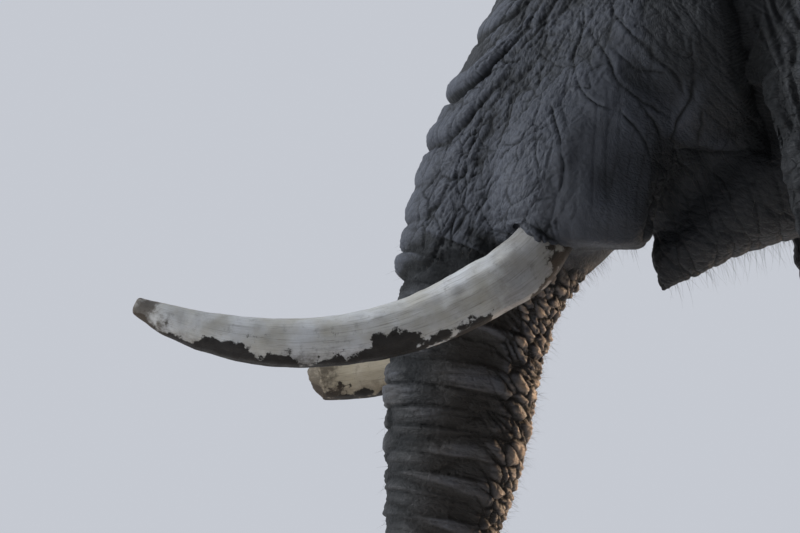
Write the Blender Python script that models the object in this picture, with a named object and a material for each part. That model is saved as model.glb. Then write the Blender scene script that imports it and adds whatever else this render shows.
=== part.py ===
"""African savanna elephant: a standing bull with a lowered head, life size, as a still museum model.

Metres, +Z up. The bull faces -Y, so its left side is +X. The origin is on the floor, under the middle of the
whole model. The flesh is lofted, fused and smoothed as one body, then parted into its named pieces with
thin cuts.
"""

import math

import bmesh
import bpy
import numpy as np
from mathutils import Euler, Matrix, Vector

# Driving sizes. Along Y, 0 is the line of the forefeet until the model is centred at the end.
SHOULDER = 3.20  # top of the shoulders above the floor
RUMP_Y = 2.52  # back of the rump
LIP_Z = 1.527  # bottom edge of the upper lip, before the head rolls
BARREL_HALF_WIDTH = 0.765
RIGHT_LIP_SHORTER = 0.165  # how much further forward the right upper lip's lower edge ends
HEAD_ROLL = 5.0  # degrees by which the right side of the head hangs lower
# Swellings of the sides of the head, and hollows below 0: middle y and z, reach along y and z, height
SWELLINGS = [
    ((-1.13, 2.275), (0.16, 0.065), 0.034),
    ((-0.93, 2.04), (0.26, 0.11), 0.042),
    ((-0.98, 2.45), (0.17, 0.16), -0.060),
    ((-1.15, 2.170), (0.10, 0.055), -0.016),
    ((-1.31, 2.02), (0.10, 0.13), -0.022),
]
SIDE_OF_HEAD = 0.32  # half width at which a swelling has its whole height
HEAD_ROLL_Y = (-0.20, -0.85)  # the roll grows from nothing at the shoulders to all of it at the cheeks
TUSK_EXIT = (0.278, -1.3225, 1.523)  # the left tusk's middle line at the lip, before the head rolls
TUSK_RADIUS = 0.0725
TUSK_THINNING = 0.38  # share of its radius that a tusk loses over a metre
TUSK_PITCH = (-30.0, -44.0, 72.0)  # steepest fall, then the line that the rise follows: at the lip, per metre
TUSK_ROOT_BEND = 34.0  # degrees by which the tusk's hidden root climbs more steeply
TUSK_ROOT_THINNING = 0.20  # share of its radius that the root loses
TUSK_ROOT_SPAN = (0.14, 0.24)  # where along the tusk both start, and over what length they grow
TUSK_SWING = (13.0, -7.0)  # degrees outward at the lip, and a metre on
TUSK_TIP = 0.23  # length over which the tip tapers
TUSK_RINGS = 15
# length of each side's tusk out of the lip and inside it, the share of its girth at its tip, and its drop
TUSKS = {1: (0.99, 0.13, 0.46, 0.0), -1: (0.593, 0.03, 0.80, 0.013)}
EYE_CENTRE = (0.292, -1.144, 2.172)  # the left one, before the head rolls
EYE_RADIUS = 0.021
NAIL_Z = 0.066
NAIL_RADII = (0.042, 0.020, 0.045)
NAIL_LEAN = 12.0  # degrees by which a nail's top leans back
GAP = 0.0006  # a thin cut between two lengths of flesh
CLEARANCE = 0.0012  # round a piece that stands in another
SOLE_DEPTH = 0.06  # lofted below the floor, then cut off flat
BEYOND = 4.0  # further out than any part of the model
RING_POINTS = 24
FLESH_TRIANGLES = 2720


# ---------------------------------------------------------------- shaping


def smooth_rows(rows, steps):
    """Rows of numbers with Catmull-Rom rows between them, so a loft needs few stations."""
    rows = np.array(rows, float)
    padded = np.vstack([2 * rows[0] - rows[1], rows, 2 * rows[-1] - rows[-2]])
    found = []
    for i in range(len(rows) - 1):
        a, b, c, d = padded[i : i + 4]
        for t in np.linspace(0, 1, steps, endpoint=False):
            bend = (2 * a - 5 * b + 4 * c - d) * t**2 + (3 * b - a - 3 * c + d) * t**3
            found.append(b + 0.5 * ((c - a) * t + bend))
    return np.array(found + [rows[-1]])


def mesh_object(name, points, faces):
    """A new object in the scene from points and faces, with its normals facing out."""
    mesh = bpy.data.meshes.new(name)
    mesh.from_pydata([tuple(p) for p in points], [], faces)
    shell = bmesh.new()
    shell.from_mesh(mesh)
    bmesh.ops.recalc_face_normals(shell, faces=shell.faces)
    shell.to_mesh(mesh)
    shell.free()
    obj = bpy.data.objects.new(name, mesh)
    bpy.context.scene.collection.objects.link(obj)
    return obj


def loft(name, stations, steps=4, power=1.0):
    """A closed body through oval rings.

    A station is (first y, first z, last y, last z, half width, x, egg). The ring's middle line runs from its
    first point to its last one in the plane of x. Egg above 0 makes the ring wider towards its last point.
    power under 1 squares the rings.
    """
    rows = smooth_rows(stations, steps)
    turns = np.linspace(0, 2 * math.pi, RING_POINTS, endpoint=False)
    along = -np.sign(np.cos(turns)) * np.abs(np.cos(turns)) ** power
    across = np.sign(np.sin(turns)) * np.abs(np.sin(turns)) ** power
    points = []
    for y0, z0, y1, z1, width, x, egg in rows:
        for a, w in zip(along, across):
            share = (1 + a) / 2
            points.append((x + w * width * (1 + egg * a), y0 + (y1 - y0) * share, z0 + (z1 - z0) * share))
    faces = []
    for ring in range(len(rows) - 1):
        for k in range(RING_POINTS):
            here, after = ring * RING_POINTS + k, ring * RING_POINTS + (k + 1) % RING_POINTS
            faces.append((here, after, after + RING_POINTS, here + RING_POINTS))
    faces.append(tuple(range(RING_POINTS)))
    faces.append(tuple(range((len(rows) - 1) * RING_POINTS, len(rows) * RING_POINTS)))
    return mesh_object(name, points, faces)


def path_loft(name, stations, steps=4, points=RING_POINTS):
    """A closed round tube through (x, y, z, radius, width share) stations, its rings square to the path."""
    rows = smooth_rows(stations, steps)
    tangents = np.gradient(rows[:, :3], axis=0)
    tangents /= np.linalg.norm(tangents, axis=1)[:, None]
    corners = []
    for row, tangent in zip(rows, tangents):
        side = np.array((1.0, 0.0, 0.0))
        side -= side.dot(tangent) * tangent
        side /= np.linalg.norm(side)
        up = np.cross(tangent, side)
        for k in range(points):
            turn = 2 * math.pi * k / points
            corners.append(row[:3] + row[3] * (math.cos(turn) * side * row[4] + math.sin(turn) * up))
    faces = []
    for ring in range(len(rows) - 1):
        for k in range(points):
            here, after = ring * points + k, ring * points + (k + 1) % points
            faces.append((here, after, after + points, here + points))
    faces.append(tuple(range(points)))
    faces.append(tuple(range((len(rows) - 1) * points, len(rows) * points)))
    return mesh_object(name, corners, faces)


def spin(turn):
    """The rotation that Euler angles in degrees make."""
    return Euler([math.radians(angle) for angle in turn]).to_matrix().to_4x4()


def shell_object(name, shell):
    """A new object in the scene from a bmesh, which it frees."""
    mesh = bpy.data.meshes.new(name)
    shell.to_mesh(mesh)
    shell.free()
    obj = bpy.data.objects.new(name, mesh)
    bpy.context.scene.collection.objects.link(obj)
    return obj


def ellipsoid(name, centre, radii, turn=(0, 0, 0), segments=20, rings=12):
    """A closed ellipsoid, turned by Euler angles in degrees."""
    shell = bmesh.new()
    bmesh.ops.create_uvsphere(shell, u_segments=segments, v_segments=rings, radius=1.0)
    shell.transform(Matrix.Translation(centre) @ spin(turn) @ Matrix.Diagonal((*radii, 1)))
    return shell_object(name, shell)


def box(name, low, high, turn=(0, 0, 0), about=(0, 0, 0)):
    """A box between two corners, turned by Euler angles in degrees about a point."""
    low, high, about = Vector(low), Vector(high), Vector(about)
    shell = bmesh.new()
    bmesh.ops.create_cube(shell, size=1.0)
    shell.transform(Matrix.Translation((low + high) / 2) @ Matrix.Diagonal((*(high - low), 1)))
    shell.transform(Matrix.Translation(about) @ spin(turn) @ Matrix.Translation(-about))
    return shell_object(name, shell)


def move_points(obj, rule):
    """Moves each of the mesh's points by a rule from an (n, 3) array to another."""
    mesh = obj.data
    points = np.empty(len(mesh.vertices) * 3, np.float32)
    mesh.vertices.foreach_get("co", points)
    moved = rule(points.reshape(-1, 3).astype(float))
    mesh.vertices.foreach_set("co", moved.astype(np.float32).ravel())
    mesh.update()


def swollen(points):
    """Points of the head, its brows and cheek bones raised and its temples and eye sockets pressed in."""
    found = points.copy()
    outside = np.clip(np.abs(points[:, 0]) / SIDE_OF_HEAD, 0, 1) ** 3
    for (y, z), (reach_y, reach_z), height in SWELLINGS:
        away = ((points[:, 1] - y) / reach_y) ** 2 + ((points[:, 2] - z) / reach_z) ** 2
        found[:, 0] += np.sign(points[:, 0]) * height * outside * np.exp(-away)
    return found


def rolled(points):
    """Points of the head, with its right side lowered."""
    start, end = HEAD_ROLL_Y
    share = np.clip((start - points[:, 1]) / (start - end), 0, 1)
    found = points.copy()
    found[:, 2] += points[:, 0] * math.tan(math.radians(HEAD_ROLL)) * share * share * (3 - 2 * share)
    return found


# ---------------------------------------------------------------- Blender helpers


def bake(obj):
    """Applies the object's modifiers."""
    bpy.context.view_layer.update()
    graph = bpy.context.evaluated_depsgraph_get()
    mesh = bpy.data.meshes.new_from_object(obj.evaluated_get(graph))
    obj.modifiers.clear()
    obj.data = mesh
    return obj


def drop(*objects):
    for obj in objects:
        bpy.data.objects.remove(obj)


def fuse(name, parts, voxel, passes):
    """Closed bodies fused into one at that voxel size and smoothed."""
    points, faces = [], []
    for part in parts:
        offset = len(points)
        points += [tuple(v.co) for v in part.data.vertices]
        faces += [tuple(offset + i for i in p.vertices) for p in part.data.polygons]
    drop(*parts)
    obj = mesh_object(name, points, faces)
    remesh = obj.modifiers.new("remesh", "REMESH")
    remesh.mode, remesh.voxel_size = "VOXEL", voxel
    smooth = obj.modifiers.new("smooth", "SMOOTH")
    smooth.factor, smooth.iterations = 0.5, passes
    return bake(obj)


def boolean(obj, operation, cutter):
    cut = obj.modifiers.new(operation.lower(), "BOOLEAN")
    cut.operation, cut.object, cut.solver = operation, cutter, "EXACT"
    return bake(obj)


def copy_of(obj, name):
    twin = obj.copy()
    twin.data = obj.data.copy()
    twin.name = name
    bpy.context.scene.collection.objects.link(twin)
    return twin


def grown(obj, by):
    """A copy of a closed mesh, a little larger all round."""
    twin = copy_of(obj, obj.name + "_grown")
    swell = twin.modifiers.new("swell", "DISPLACE")
    swell.strength, swell.mid_level = by, 0.0
    return bake(twin)


def carve(body, name, cutter):
    """Parts the piece inside the cutter from the body, and leaves a thin gap between them."""
    piece = boolean(copy_of(body, name), "INTERSECT", cutter)
    wide = grown(cutter, GAP)
    boolean(body, "DIFFERENCE", wide)
    drop(wide, cutter)
    return piece


def clear(body, piece):
    """Cuts from a body the room that a piece takes, and a thin gap round it."""
    wide = grown(piece, CLEARANCE)
    boolean(body, "DIFFERENCE", wide)
    drop(wide)


# ---------------------------------------------------------------- the flesh


def torso():
    stations = [
        (-0.52, 2.84, -0.46, 1.80, 0.26, 0, 0.10),
        (-0.28, 3.06, -0.30, 1.54, 0.43, 0, 0.12),
        (0.00, SHOULDER, 0.00, 1.38, 0.53, 0, 0.14),
        (0.34, 3.16, 0.38, 1.31, 0.64, 0, 0.14),
        (0.72, 3.04, 0.76, 1.25, 0.75, 0, 0.12),
        (1.10, 3.00, 1.12, 1.20, BARREL_HALF_WIDTH, 0, 0.10),
        (1.45, 3.06, 1.45, 1.18, 0.79, 0, 0.08),
        (1.78, 3.13, 1.74, 1.22, 0.71, 0, 0.05),
        (2.05, 3.07, 2.00, 1.38, 0.61, 0, 0.02),
        (2.29, 2.88, 2.22, 1.64, 0.49, 0, 0),
        (RUMP_Y - 0.07, 2.62, 2.38, 1.92, 0.34, 0, 0),
        (RUMP_Y, 2.42, 2.46, 2.12, 0.18, 0, 0),
    ]
    return loft("torso", stations, power=0.92)


def neck():
    stations = [
        (0.16, 3.08, 0.05, 1.52, 0.44, 0, 0.05),
        (-0.16, 3.04, -0.26, 1.50, 0.41, 0, 0),
        (-0.42, 2.90, -0.50, 1.54, 0.37, 0, -0.05),
        (-0.66, 2.80, -0.72, 1.62, 0.335, 0, -0.08),
        (-0.84, 2.72, -0.84, 1.75, 0.28, 0, -0.08),
    ]
    return loft("neck", stations)


def face_and_trunk():
    """The skull, the face and the trunk down to the curl, from the front of each ring to its back."""
    stations = [
        (-0.900, 2.935, -0.70, 2.945, 0.07, 0, 0),
        (-1.030, 2.86, -0.57, 2.90, 0.21, 0, 0.05),
        (-1.170, 2.69, -0.45, 2.80, 0.30, 0, 0.10),
        (-1.297, 2.47, -0.38, 2.60, 0.36, 0, 0.14),
        (-1.377, 2.27, -0.36, 2.34, 0.375, 0, 0.16),
        (-1.437, 2.115, -0.42, 2.10, 0.37, 0, 0.16),
        (-1.502, 1.99, -0.60, 1.88, 0.345, 0, 0.12),
        (-1.567, 1.85, -0.86, 1.76, 0.305, 0, 0.06),
        (-1.615, 1.71, -1.06, 1.64, 0.262, 0, 0),
        (-1.647, 1.58, -1.17, 1.54, 0.230, 0, 0),
        (-1.667, 1.44, -1.255, 1.44, 0.205, 0, 0),
        (-1.684, 1.32, -1.302, 1.32, 0.190, 0, 0),
        (-1.692, 1.18, -1.330, 1.18, 0.178, 0, 0),
        (-1.694, 1.05, -1.362, 1.04, 0.163, 0, 0),
        (-1.696, 0.91, -1.408, 0.90, 0.147, 0, 0),
        (-1.699, 0.72, -1.453, 0.705, 0.126, 0, 0),
        (-1.702, 0.52, -1.488, 0.52, 0.110, 0, 0),
        (-1.665, 0.33, -1.492, 0.375, 0.096, 0, 0),
        (-1.585, 0.165, -1.452, 0.265, 0.086, 0, 0),
        (-1.452, 0.072, -1.392, 0.207, 0.078, 0, 0),
        (-1.312, 0.058, -1.330, 0.190, 0.072, 0, 0),
        (-1.192, 0.118, -1.278, 0.212, 0.067, 0, 0),
        (-1.135, 0.222, -1.252, 0.262, 0.064, 0, 0),
    ]
    return loft("face_and_trunk", stations, power=0.95)


def trunk_fingers():
    """The two lips at the tip of the trunk, before and behind the nostrils."""
    front = [(0, -1.160, 0.215, 0.042, 1.1), (0, -1.152, 0.262, 0.031, 1.1), (0, -1.168, 0.300, 0.017, 1.0)]
    back = [(0, -1.228, 0.240, 0.042, 1.1), (0, -1.232, 0.278, 0.030, 1.1), (0, -1.222, 0.308, 0.015, 1.0)]
    return [path_loft("front_finger", front, points=12), path_loft("back_finger", back, points=12)]


def sheath(side):
    """The upper lip round the root of a tusk, its lower edge shorter on the right side."""
    rear = RIGHT_LIP_SHORTER if side < 0 else 0
    stations = [
        (-1.22, 2.10, -0.96, 2.06, 0.07, side * 0.20, 0),
        (-1.33, 1.95, -0.97, 1.93, 0.115, side * 0.225, 0),
        (-1.405, 1.81, -1.01, 1.79, 0.135, side * 0.240, 0),
        (-1.430, 1.69, -1.045 - rear / 3, 1.67, 0.138, side * 0.246, 0),
        (-1.420, 1.59, -1.062 - rear, 1.57, 0.130, side * 0.250, 0),
        (-1.390, LIP_Z + 0.010, -1.080 - rear, LIP_Z, 0.100, side * 0.250, 0),
    ]
    return loft(f"sheath_{side}", stations)


def jaw():
    """The lower jaw and its pointed lip, from the top of each ring to its bottom."""
    stations = [
        (-0.52, 2.02, -0.52, 1.72, 0.22, 0, 0),
        (-0.68, 1.96, -0.68, 1.600, 0.245, 0, 0),
        (-0.82, 1.86, -0.82, 1.560, 0.215, 0, 0),
        (-0.93, 1.75, -0.91, 1.520, 0.160, 0, 0),
        (-1.02, 1.65, -0.975, 1.488, 0.110, 0, 0),
        (-1.070, 1.570, -1.015, 1.466, 0.062, 0, 0),
        (-1.068, 1.525, -1.042, 1.444, 0.030, 0, 0),
    ]
    return loft("jaw", stations)


def foreleg(side, step):
    """A foreleg, its foot moved forward by step."""
    stations = [
        (-0.26, 2.40, 0.36, 2.40, 0.20, side * 0.300, 0),
        (-0.32, 2.05, 0.36, 2.05, 0.225, side * 0.335, 0),
        (-0.31, 1.72, 0.34, 1.72, 0.215, side * 0.365, 0),
        (-0.245 - 0.2 * step, 1.42, 0.31 - 0.2 * step, 1.42, 0.195, side * 0.380, 0),
        (-0.215 - 0.4 * step, 1.12, 0.235 - 0.4 * step, 1.12, 0.182, side * 0.382, 0),
        (-0.200 - 0.6 * step, 0.82, 0.195 - 0.6 * step, 0.82, 0.170, side * 0.382, 0),
        (-0.198 - 0.8 * step, 0.54, 0.180 - 0.8 * step, 0.54, 0.166, side * 0.382, 0),
        (-0.205 - 0.9 * step, 0.30, 0.185 - 0.9 * step, 0.30, 0.176, side * 0.382, 0),
        (-0.258 - step, 0.12, 0.218 - step, 0.12, 0.222, side * 0.384, 0),
        (-0.275 - step, 0.0, 0.232 - step, 0.0, 0.238, side * 0.385, 0),
        (-0.275 - step, -SOLE_DEPTH, 0.232 - step, -SOLE_DEPTH, 0.238, side * 0.385, 0),
    ]
    return loft(f"foreleg_{side}", stations)


def hindleg(side, step):
    """A hind leg, its foot moved forward by step."""
    stations = [
        (1.66, 2.62, 2.26, 2.62, 0.22, side * 0.250, 0),
        (1.50, 2.28, 2.46, 2.26, 0.25, side * 0.300, 0),
        (1.44, 1.95, 2.42, 1.92, 0.245, side * 0.335, 0),
        (1.44, 1.62, 2.27, 1.58, 0.225, side * 0.350, 0),
        (1.46 - 0.1 * step, 1.32, 2.12 - 0.1 * step, 1.27, 0.200, side * 0.355, 0),
        (1.50 - 0.3 * step, 1.07, 2.04 - 0.3 * step, 1.00, 0.178, side * 0.352, 0),
        (1.64 - 0.5 * step, 0.80, 2.06 - 0.5 * step, 0.76, 0.158, side * 0.350, 0),
        (1.72 - 0.7 * step, 0.54, 2.10 - 0.7 * step, 0.52, 0.152, side * 0.350, 0),
        (1.70 - 0.9 * step, 0.29, 2.08 - 0.9 * step, 0.29, 0.158, side * 0.350, 0),
        (1.615 - step, 0.11, 2.085 - step, 0.11, 0.192, side * 0.350, 0),
        (1.590 - step, 0.0, 2.095 - step, 0.0, 0.205, side * 0.350, 0),
        (1.590 - step, -SOLE_DEPTH, 2.095 - step, -SOLE_DEPTH, 0.205, side * 0.350, 0),
    ]
    return loft(f"hindleg_{side}", stations)


FORE_STEPS = {1: 0.14, -1: -0.10}  # left forefoot ahead, right one behind
HIND_STEPS = {1: -0.10, -1: 0.12}
BOTH = (1, -1)
SIDE_NAMES = {1: "left", -1: "right"}


def flesh():
    """The whole body but the ears and the tail, as one smooth closed mesh with flat soles."""
    limbs = [foreleg(s, FORE_STEPS[s]) for s in BOTH] + [hindleg(s, HIND_STEPS[s]) for s in BOTH]
    body = fuse("body", [torso(), neck(), *limbs], voxel=0.032, passes=10)
    face = [face_and_trunk(), *trunk_fingers(), jaw()]
    for side in BOTH:
        face.append(sheath(side))
    head = fuse("head_mass", face, voxel=0.016, passes=5)
    move_points(head, swollen)
    move_points(head, rolled)
    whole = fuse("flesh", [body, head], voxel=0.020, passes=4)
    thin = whole.modifiers.new("thin", "DECIMATE")
    thin.ratio = FLESH_TRIANGLES / sum(len(p.vertices) - 2 for p in whole.data.polygons)
    bake(whole)
    floor = box("floor", (-BEYOND, -BEYOND, -1), (BEYOND, BEYOND, 0))
    boolean(whole, "DIFFERENCE", floor)
    drop(floor)
    return whole


# ---------------------------------------------------------------- ears, tail, tusks, eyes and nails


# (y, z) points down the ear's hinge and round its free edge, from the top to the bottom
EAR_HINGE = [(-0.62, 2.88), (-0.74, 2.55), (-0.86, 2.04)]
EAR_EDGE = [
    (-0.58, 3.00),
    (-0.34, 3.08),
    (-0.02, 3.05),
    (0.26, 2.86),
    (0.42, 2.56),
    (0.43, 2.25),
    (0.30, 1.98),
    (0.06, 1.78),
    (-0.22, 1.60),
    (-0.46, 1.45),
    (-0.64, 1.42),
    (-0.755, 1.51),
    (-0.785, 1.68),
    (-0.840, 1.92),
]
EAR_COLUMNS, EAR_ROWS = 5, 17
EAR_THICKNESS = 0.030
RIGHT_EAR_BACK = 0.08  # how much further back the right ear's lowest part is held


def sampled(points, count):
    """That many points spread evenly along a smooth line through the given ones."""
    line = smooth_rows(points, 8)
    along = np.concatenate([[0], np.cumsum(np.linalg.norm(np.diff(line, axis=0), axis=1))])
    at = np.linspace(0, along[-1], count)
    return np.stack([np.interp(at, along, line[:, k]) for k in range(line.shape[1])], axis=1)


def ear(side):
    """An ear, hinged down the back of the head and standing off the neck towards its rear edge."""
    hinge, edge = sampled(EAR_HINGE, EAR_ROWS), sampled(EAR_EDGE, EAR_ROWS)
    points, faces = [], []
    for i in range(EAR_ROWS):
        down = i / (EAR_ROWS - 1)
        for k in range(EAR_COLUMNS):
            out = k / (EAR_COLUMNS - 1)
            y, z = hinge[i] + (edge[i] - hinge[i]) * out
            if side < 0:
                y += RIGHT_EAR_BACK * down**2
            back = max(y - EAR_HINGE[-1][0], 0) / 1.25
            belly = 0.05 * math.sin(math.pi * out) * math.sin(math.pi * down)
            ripple = 0.03 * out * math.sin(9 * down + 1.0)
            curl = 0.14 * out**2 * max(1 - down / 0.3, 0)
            points.append((side * (0.335 + 0.50 * back**0.9 + belly + ripple - curl), y, z))
    for i in range(EAR_ROWS - 1):
        for k in range(EAR_COLUMNS - 1):
            here = i * EAR_COLUMNS + k
            faces.append((here, here + 1, here + 1 + EAR_COLUMNS, here + EAR_COLUMNS))
    obj = mesh_object(f"ear_{SIDE_NAMES[side]}", points, faces)
    wall = obj.modifiers.new("wall", "SOLIDIFY")
    wall.thickness, wall.offset = EAR_THICKNESS, 0.0
    bake(obj)
    move_points(obj, rolled)
    return obj


TAIL = [
    (0.00, 2.40, 2.66, 0.085, 1.15),
    (0.00, 2.535, 2.53, 0.075, 1.1),
    (0.01, 2.600, 2.28, 0.056, 1.0),
    (0.03, 2.625, 1.90, 0.040, 1.0),
    (0.06, 2.635, 1.50, 0.030, 1.0),
    (0.09, 2.640, 1.18, 0.025, 1.0),
]
TAIL_TUFT = [
    (0.090, 2.640, 1.178, 0.027, 1.0),
    (0.097, 2.643, 1.08, 0.040, 0.6),
    (0.105, 2.648, 0.95, 0.050, 0.5),
    (0.115, 2.650, 0.80, 0.040, 0.5),
    (0.120, 2.652, 0.70, 0.012, 0.6),
]


def tusk(side, length, root, blunt, drop):
    """A tusk that leaves the lip heading down, levels out and turns up, swinging out and then in.

    root is the length hidden in the lip, blunt is the share of its girth that a worn or broken tip keeps,
    and drop lowers the whole tusk.
    """
    steepest, start, rise_rate = TUSK_PITCH
    step = (length + root) / (TUSK_RINGS - 1)
    place, rows = None, []
    for k in range(TUSK_RINGS):
        s = k * step - root
        halfway = s - step / 2
        bend = TUSK_ROOT_BEND * min(max((TUSK_ROOT_SPAN[0] - halfway) / TUSK_ROOT_SPAN[1], 0.0), 1.0)
        rise = math.radians(max(steepest, start + rise_rate * halfway) - bend)
        swing = side * math.radians(TUSK_SWING[0] + (TUSK_SWING[1] - TUSK_SWING[0]) * halfway)
        ahead = Vector((math.sin(swing) * math.cos(rise), -math.cos(swing) * math.cos(rise), math.sin(rise)))
        lip = Vector((side * TUSK_EXIT[0], TUSK_EXIT[1], TUSK_EXIT[2] - drop))
        place = lip - ahead * root if place is None else place + ahead * step
        taper = blunt + (1 - blunt) * math.sqrt(max(length - s, 0) / TUSK_TIP)
        girth = TUSK_RADIUS * (1 - TUSK_THINNING * max(s, 0))
        girth *= 1 - TUSK_ROOT_THINNING * min(max((TUSK_ROOT_SPAN[0] - s) / TUSK_ROOT_SPAN[1], 0.0), 1.0)
        rows.append((*place, girth * min(1.0, taper), 1.0))
    obj = path_loft(f"tusk_{SIDE_NAMES[side]}", rows, steps=1, points=12)
    move_points(obj, rolled)
    return obj


def eye(side):
    centre = (side * EYE_CENTRE[0], *EYE_CENTRE[1:])
    obj = ellipsoid(f"eye_{SIDE_NAMES[side]}", centre, (EYE_RADIUS,) * 3, segments=10, rings=6)
    move_points(obj, rolled)
    return obj


def nails(name, centre, radii, angles):
    """Toenails round the front of a foot, whose sole is an oval with that centre and those radii."""
    for number, angle in enumerate(angles, 1):
        turn = math.radians(angle)
        place = (centre[0] + radii[0] * math.sin(turn), centre[1] - radii[1] * math.cos(turn), NAIL_Z)
        label = f"{name}_nail_{number}"
        yield ellipsoid(label, place, NAIL_RADII, turn=(-NAIL_LEAN, 0, angle), segments=8, rings=4)


# the oval that each foot's nails stand on (x, y, half width, half length), the steps, and the nails' places
SOLES = [
    ("fore", (0.385, -0.022, 0.232, 0.250), FORE_STEPS, (-66, -24, 20, 62)),
    ("hind", (0.350, 1.842, 0.200, 0.250), HIND_STEPS, (-48, 0, 46)),
]


# ---------------------------------------------------------------- parting the flesh


# name, lowest z and highest z of each length of the trunk
TRUNK_LENGTHS = [
    ("trunk_tip", -BEYOND, 0.42),
    ("trunk_lower", 0.42, 0.86),
    ("trunk_middle", 0.86, 1.22),
    ("trunk_upper", 1.22, 1.50),
]
TRUNK_BACK_Y = -1.105
MOUTH_FRONT, MOUTH_REAR = -1.050, -0.60  # y of the box that takes out the lower jaw, before it is turned
MOUTH_BOTTOM, MOUTH_TOP = 1.2, 1.775
MOUTH_SLANT = 12.0  # degrees by which that box's top falls to the back
# name, y at CUT_Z and backward lean in degrees of the cut in front of each piece of the body
BODY_CUTS = [("hindquarters", 1.05, 0.0), ("chest", -0.30, 8.0), ("neck", -0.70, 14.0)]
CUT_Z = 2.3
ARMPIT = (0.13, 1.30)  # x and z where the cut over a foreleg starts, rising outward
GROIN = (0.08, 1.42)
MIDLINE = 0.01  # half the width left uncut between the left and right legs
# name, y range, levels parting it above the foot, start and rise in degrees of the cut over it
LEGS = [
    ("fore", (-0.47, 0.40), 0.66, ARMPIT, 50),
    ("hind", (1.30, 3.00), 1.04, GROIN, 52),
]
FOOT_Z = 0.20


def legs(body):
    """The lengths of the four legs, from the foot up."""
    for side in BOTH:
        label = SIDE_NAMES[side]
        inner, outer = sorted((side * MIDLINE, side * BEYOND))
        for name, (front, rear), knee_z, corner, angle in LEGS:
            for length, low, high in (("foot", -BEYOND, FOOT_Z), ("lower", FOOT_Z, knee_z)):
                cutter = box("cutter", (inner, front, low), (outer, rear, high))
                yield carve(body, f"{name}leg_{label}_{length}", cutter)
            about = (side * corner[0], 0, corner[1])
            low, high = (about[0] - BEYOND, front, corner[1] - BEYOND), (about[0] + BEYOND, rear, corner[1])
            cutter = box("cutter", low, high, (0, -side * angle, 0), about)
            inside = box("inside", (inner, -BEYOND, knee_z + GAP), (outer, BEYOND, BEYOND))
            boolean(cutter, "INTERSECT", inside)
            drop(inside)
            yield carve(body, f"{name}leg_{label}_upper", cutter)


def divide(body):
    """Parts the flesh into its named pieces, and returns them with what is left, the head."""
    pieces = []
    for name, low, high in TRUNK_LENGTHS:
        cutter = box("cutter", (-BEYOND, -BEYOND, low), (BEYOND, TRUNK_BACK_Y, high))
        pieces.append(carve(body, name, cutter))
    low, high = (-BEYOND, MOUTH_FRONT, MOUTH_BOTTOM), (BEYOND, MOUTH_REAR, MOUTH_TOP)
    mouth = box("cutter", low, high, (-MOUTH_SLANT, -HEAD_ROLL, 0), (0, MOUTH_FRONT, MOUTH_TOP))
    pieces.append(carve(body, "lower_jaw", mouth))
    pieces += legs(body)
    for name, y, lean in BODY_CUTS:
        cutter = box("cutter", (-BEYOND, y, -BEYOND), (BEYOND, BEYOND, BEYOND), (lean, 0, 0), (0, y, CUT_Z))
        pieces.append(carve(body, name, cutter))
    body.name = "head"
    return pieces + [body]


# ---------------------------------------------------------------- finish and place


MATERIALS = {
    "hide": ((0.125, 0.122, 0.125), 0.85),
    "ivory": ((0.62, 0.56, 0.45), 0.45),
    "eye": ((0.10, 0.05, 0.02), 0.10),
    "nail": ((0.33, 0.29, 0.23), 0.55),
    "tail_hair": ((0.02, 0.02, 0.02), 0.60),
}


def paint(obj, slot):
    """Gives an object its material, and smooth shading except at its cut edges."""
    material = bpy.data.materials.get(slot)
    if material is None:
        material = bpy.data.materials.new(slot)
        material.use_nodes = True
        colour, roughness = MATERIALS[slot]
        shader = material.node_tree.nodes["Principled BSDF"]
        shader.inputs["Base Color"].default_value = (*colour, 1)
        shader.inputs["Roughness"].default_value = roughness
        shader.inputs["Metallic"].default_value = 0.0
    obj.data.materials.clear()
    obj.data.materials.append(material)
    obj.data.shade_smooth()
    obj.data.set_sharp_from_angle(angle=math.radians(50))


def centre_all():
    """Moves the model so that its middle is over the origin and its soles are on the floor."""
    corners = np.array([obj.matrix_world @ v.co for obj in bpy.data.objects for v in obj.data.vertices])
    low, high = corners.min(axis=0), corners.max(axis=0)
    shift = Vector((-(low[0] + high[0]) / 2, -(low[1] + high[1]) / 2, -low[2]))
    for obj in bpy.data.objects:
        obj.data.transform(Matrix.Translation(shift))


def main():
    for obj in list(bpy.data.objects):
        bpy.data.objects.remove(obj)
    whole = flesh()
    ears = [ear(side) for side in BOTH]
    tail = path_loft("tail", TAIL, steps=3, points=8)
    for piece in (*ears, tail):
        clear(piece, whole)
    tuft = path_loft("tail_tuft", TAIL_TUFT, steps=2, points=8)
    clear(tuft, tail)
    tusks = [tusk(side, *TUSKS[side]) for side in BOTH]
    eyes = [eye(side) for side in BOTH]
    pieces = divide(whole)
    head = pieces[-1]
    trunk_upper = pieces[len(TRUNK_LENGTHS) - 1]
    for tooth in tusks:
        clear(head, tooth)
        clear(trunk_upper, tooth)
    for ball in eyes:
        clear(head, ball)
    toenails = []
    feet = {piece.name: piece for piece in pieces if piece.name.endswith("_foot")}
    for side in BOTH:
        for kind, (x, y, across, along), steps, angles in SOLES:
            foot = feet[f"{kind}leg_{SIDE_NAMES[side]}_foot"]
            centre = (side * x, y - steps[side])
            for nail in nails(f"{kind}foot_{SIDE_NAMES[side]}", centre, (across, along), angles):
                clear(foot, nail)
                toenails.append(nail)
    for slot, members in (
        ("hide", [*pieces, *ears, tail]),
        ("ivory", tusks),
        ("eye", eyes),
        ("nail", toenails),
        ("tail_hair", [tuft]),
    ):
        for piece in members:
            paint(piece, slot)
    centre_all()


main()
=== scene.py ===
"""Looks of the African savanna elephant: one skin over the flesh, with tusks, eyes, nails and hairs.

Metres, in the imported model's own frame: +Z up, the bull faces -Y and its left side is +X.
"""

import math
from itertools import product

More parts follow.
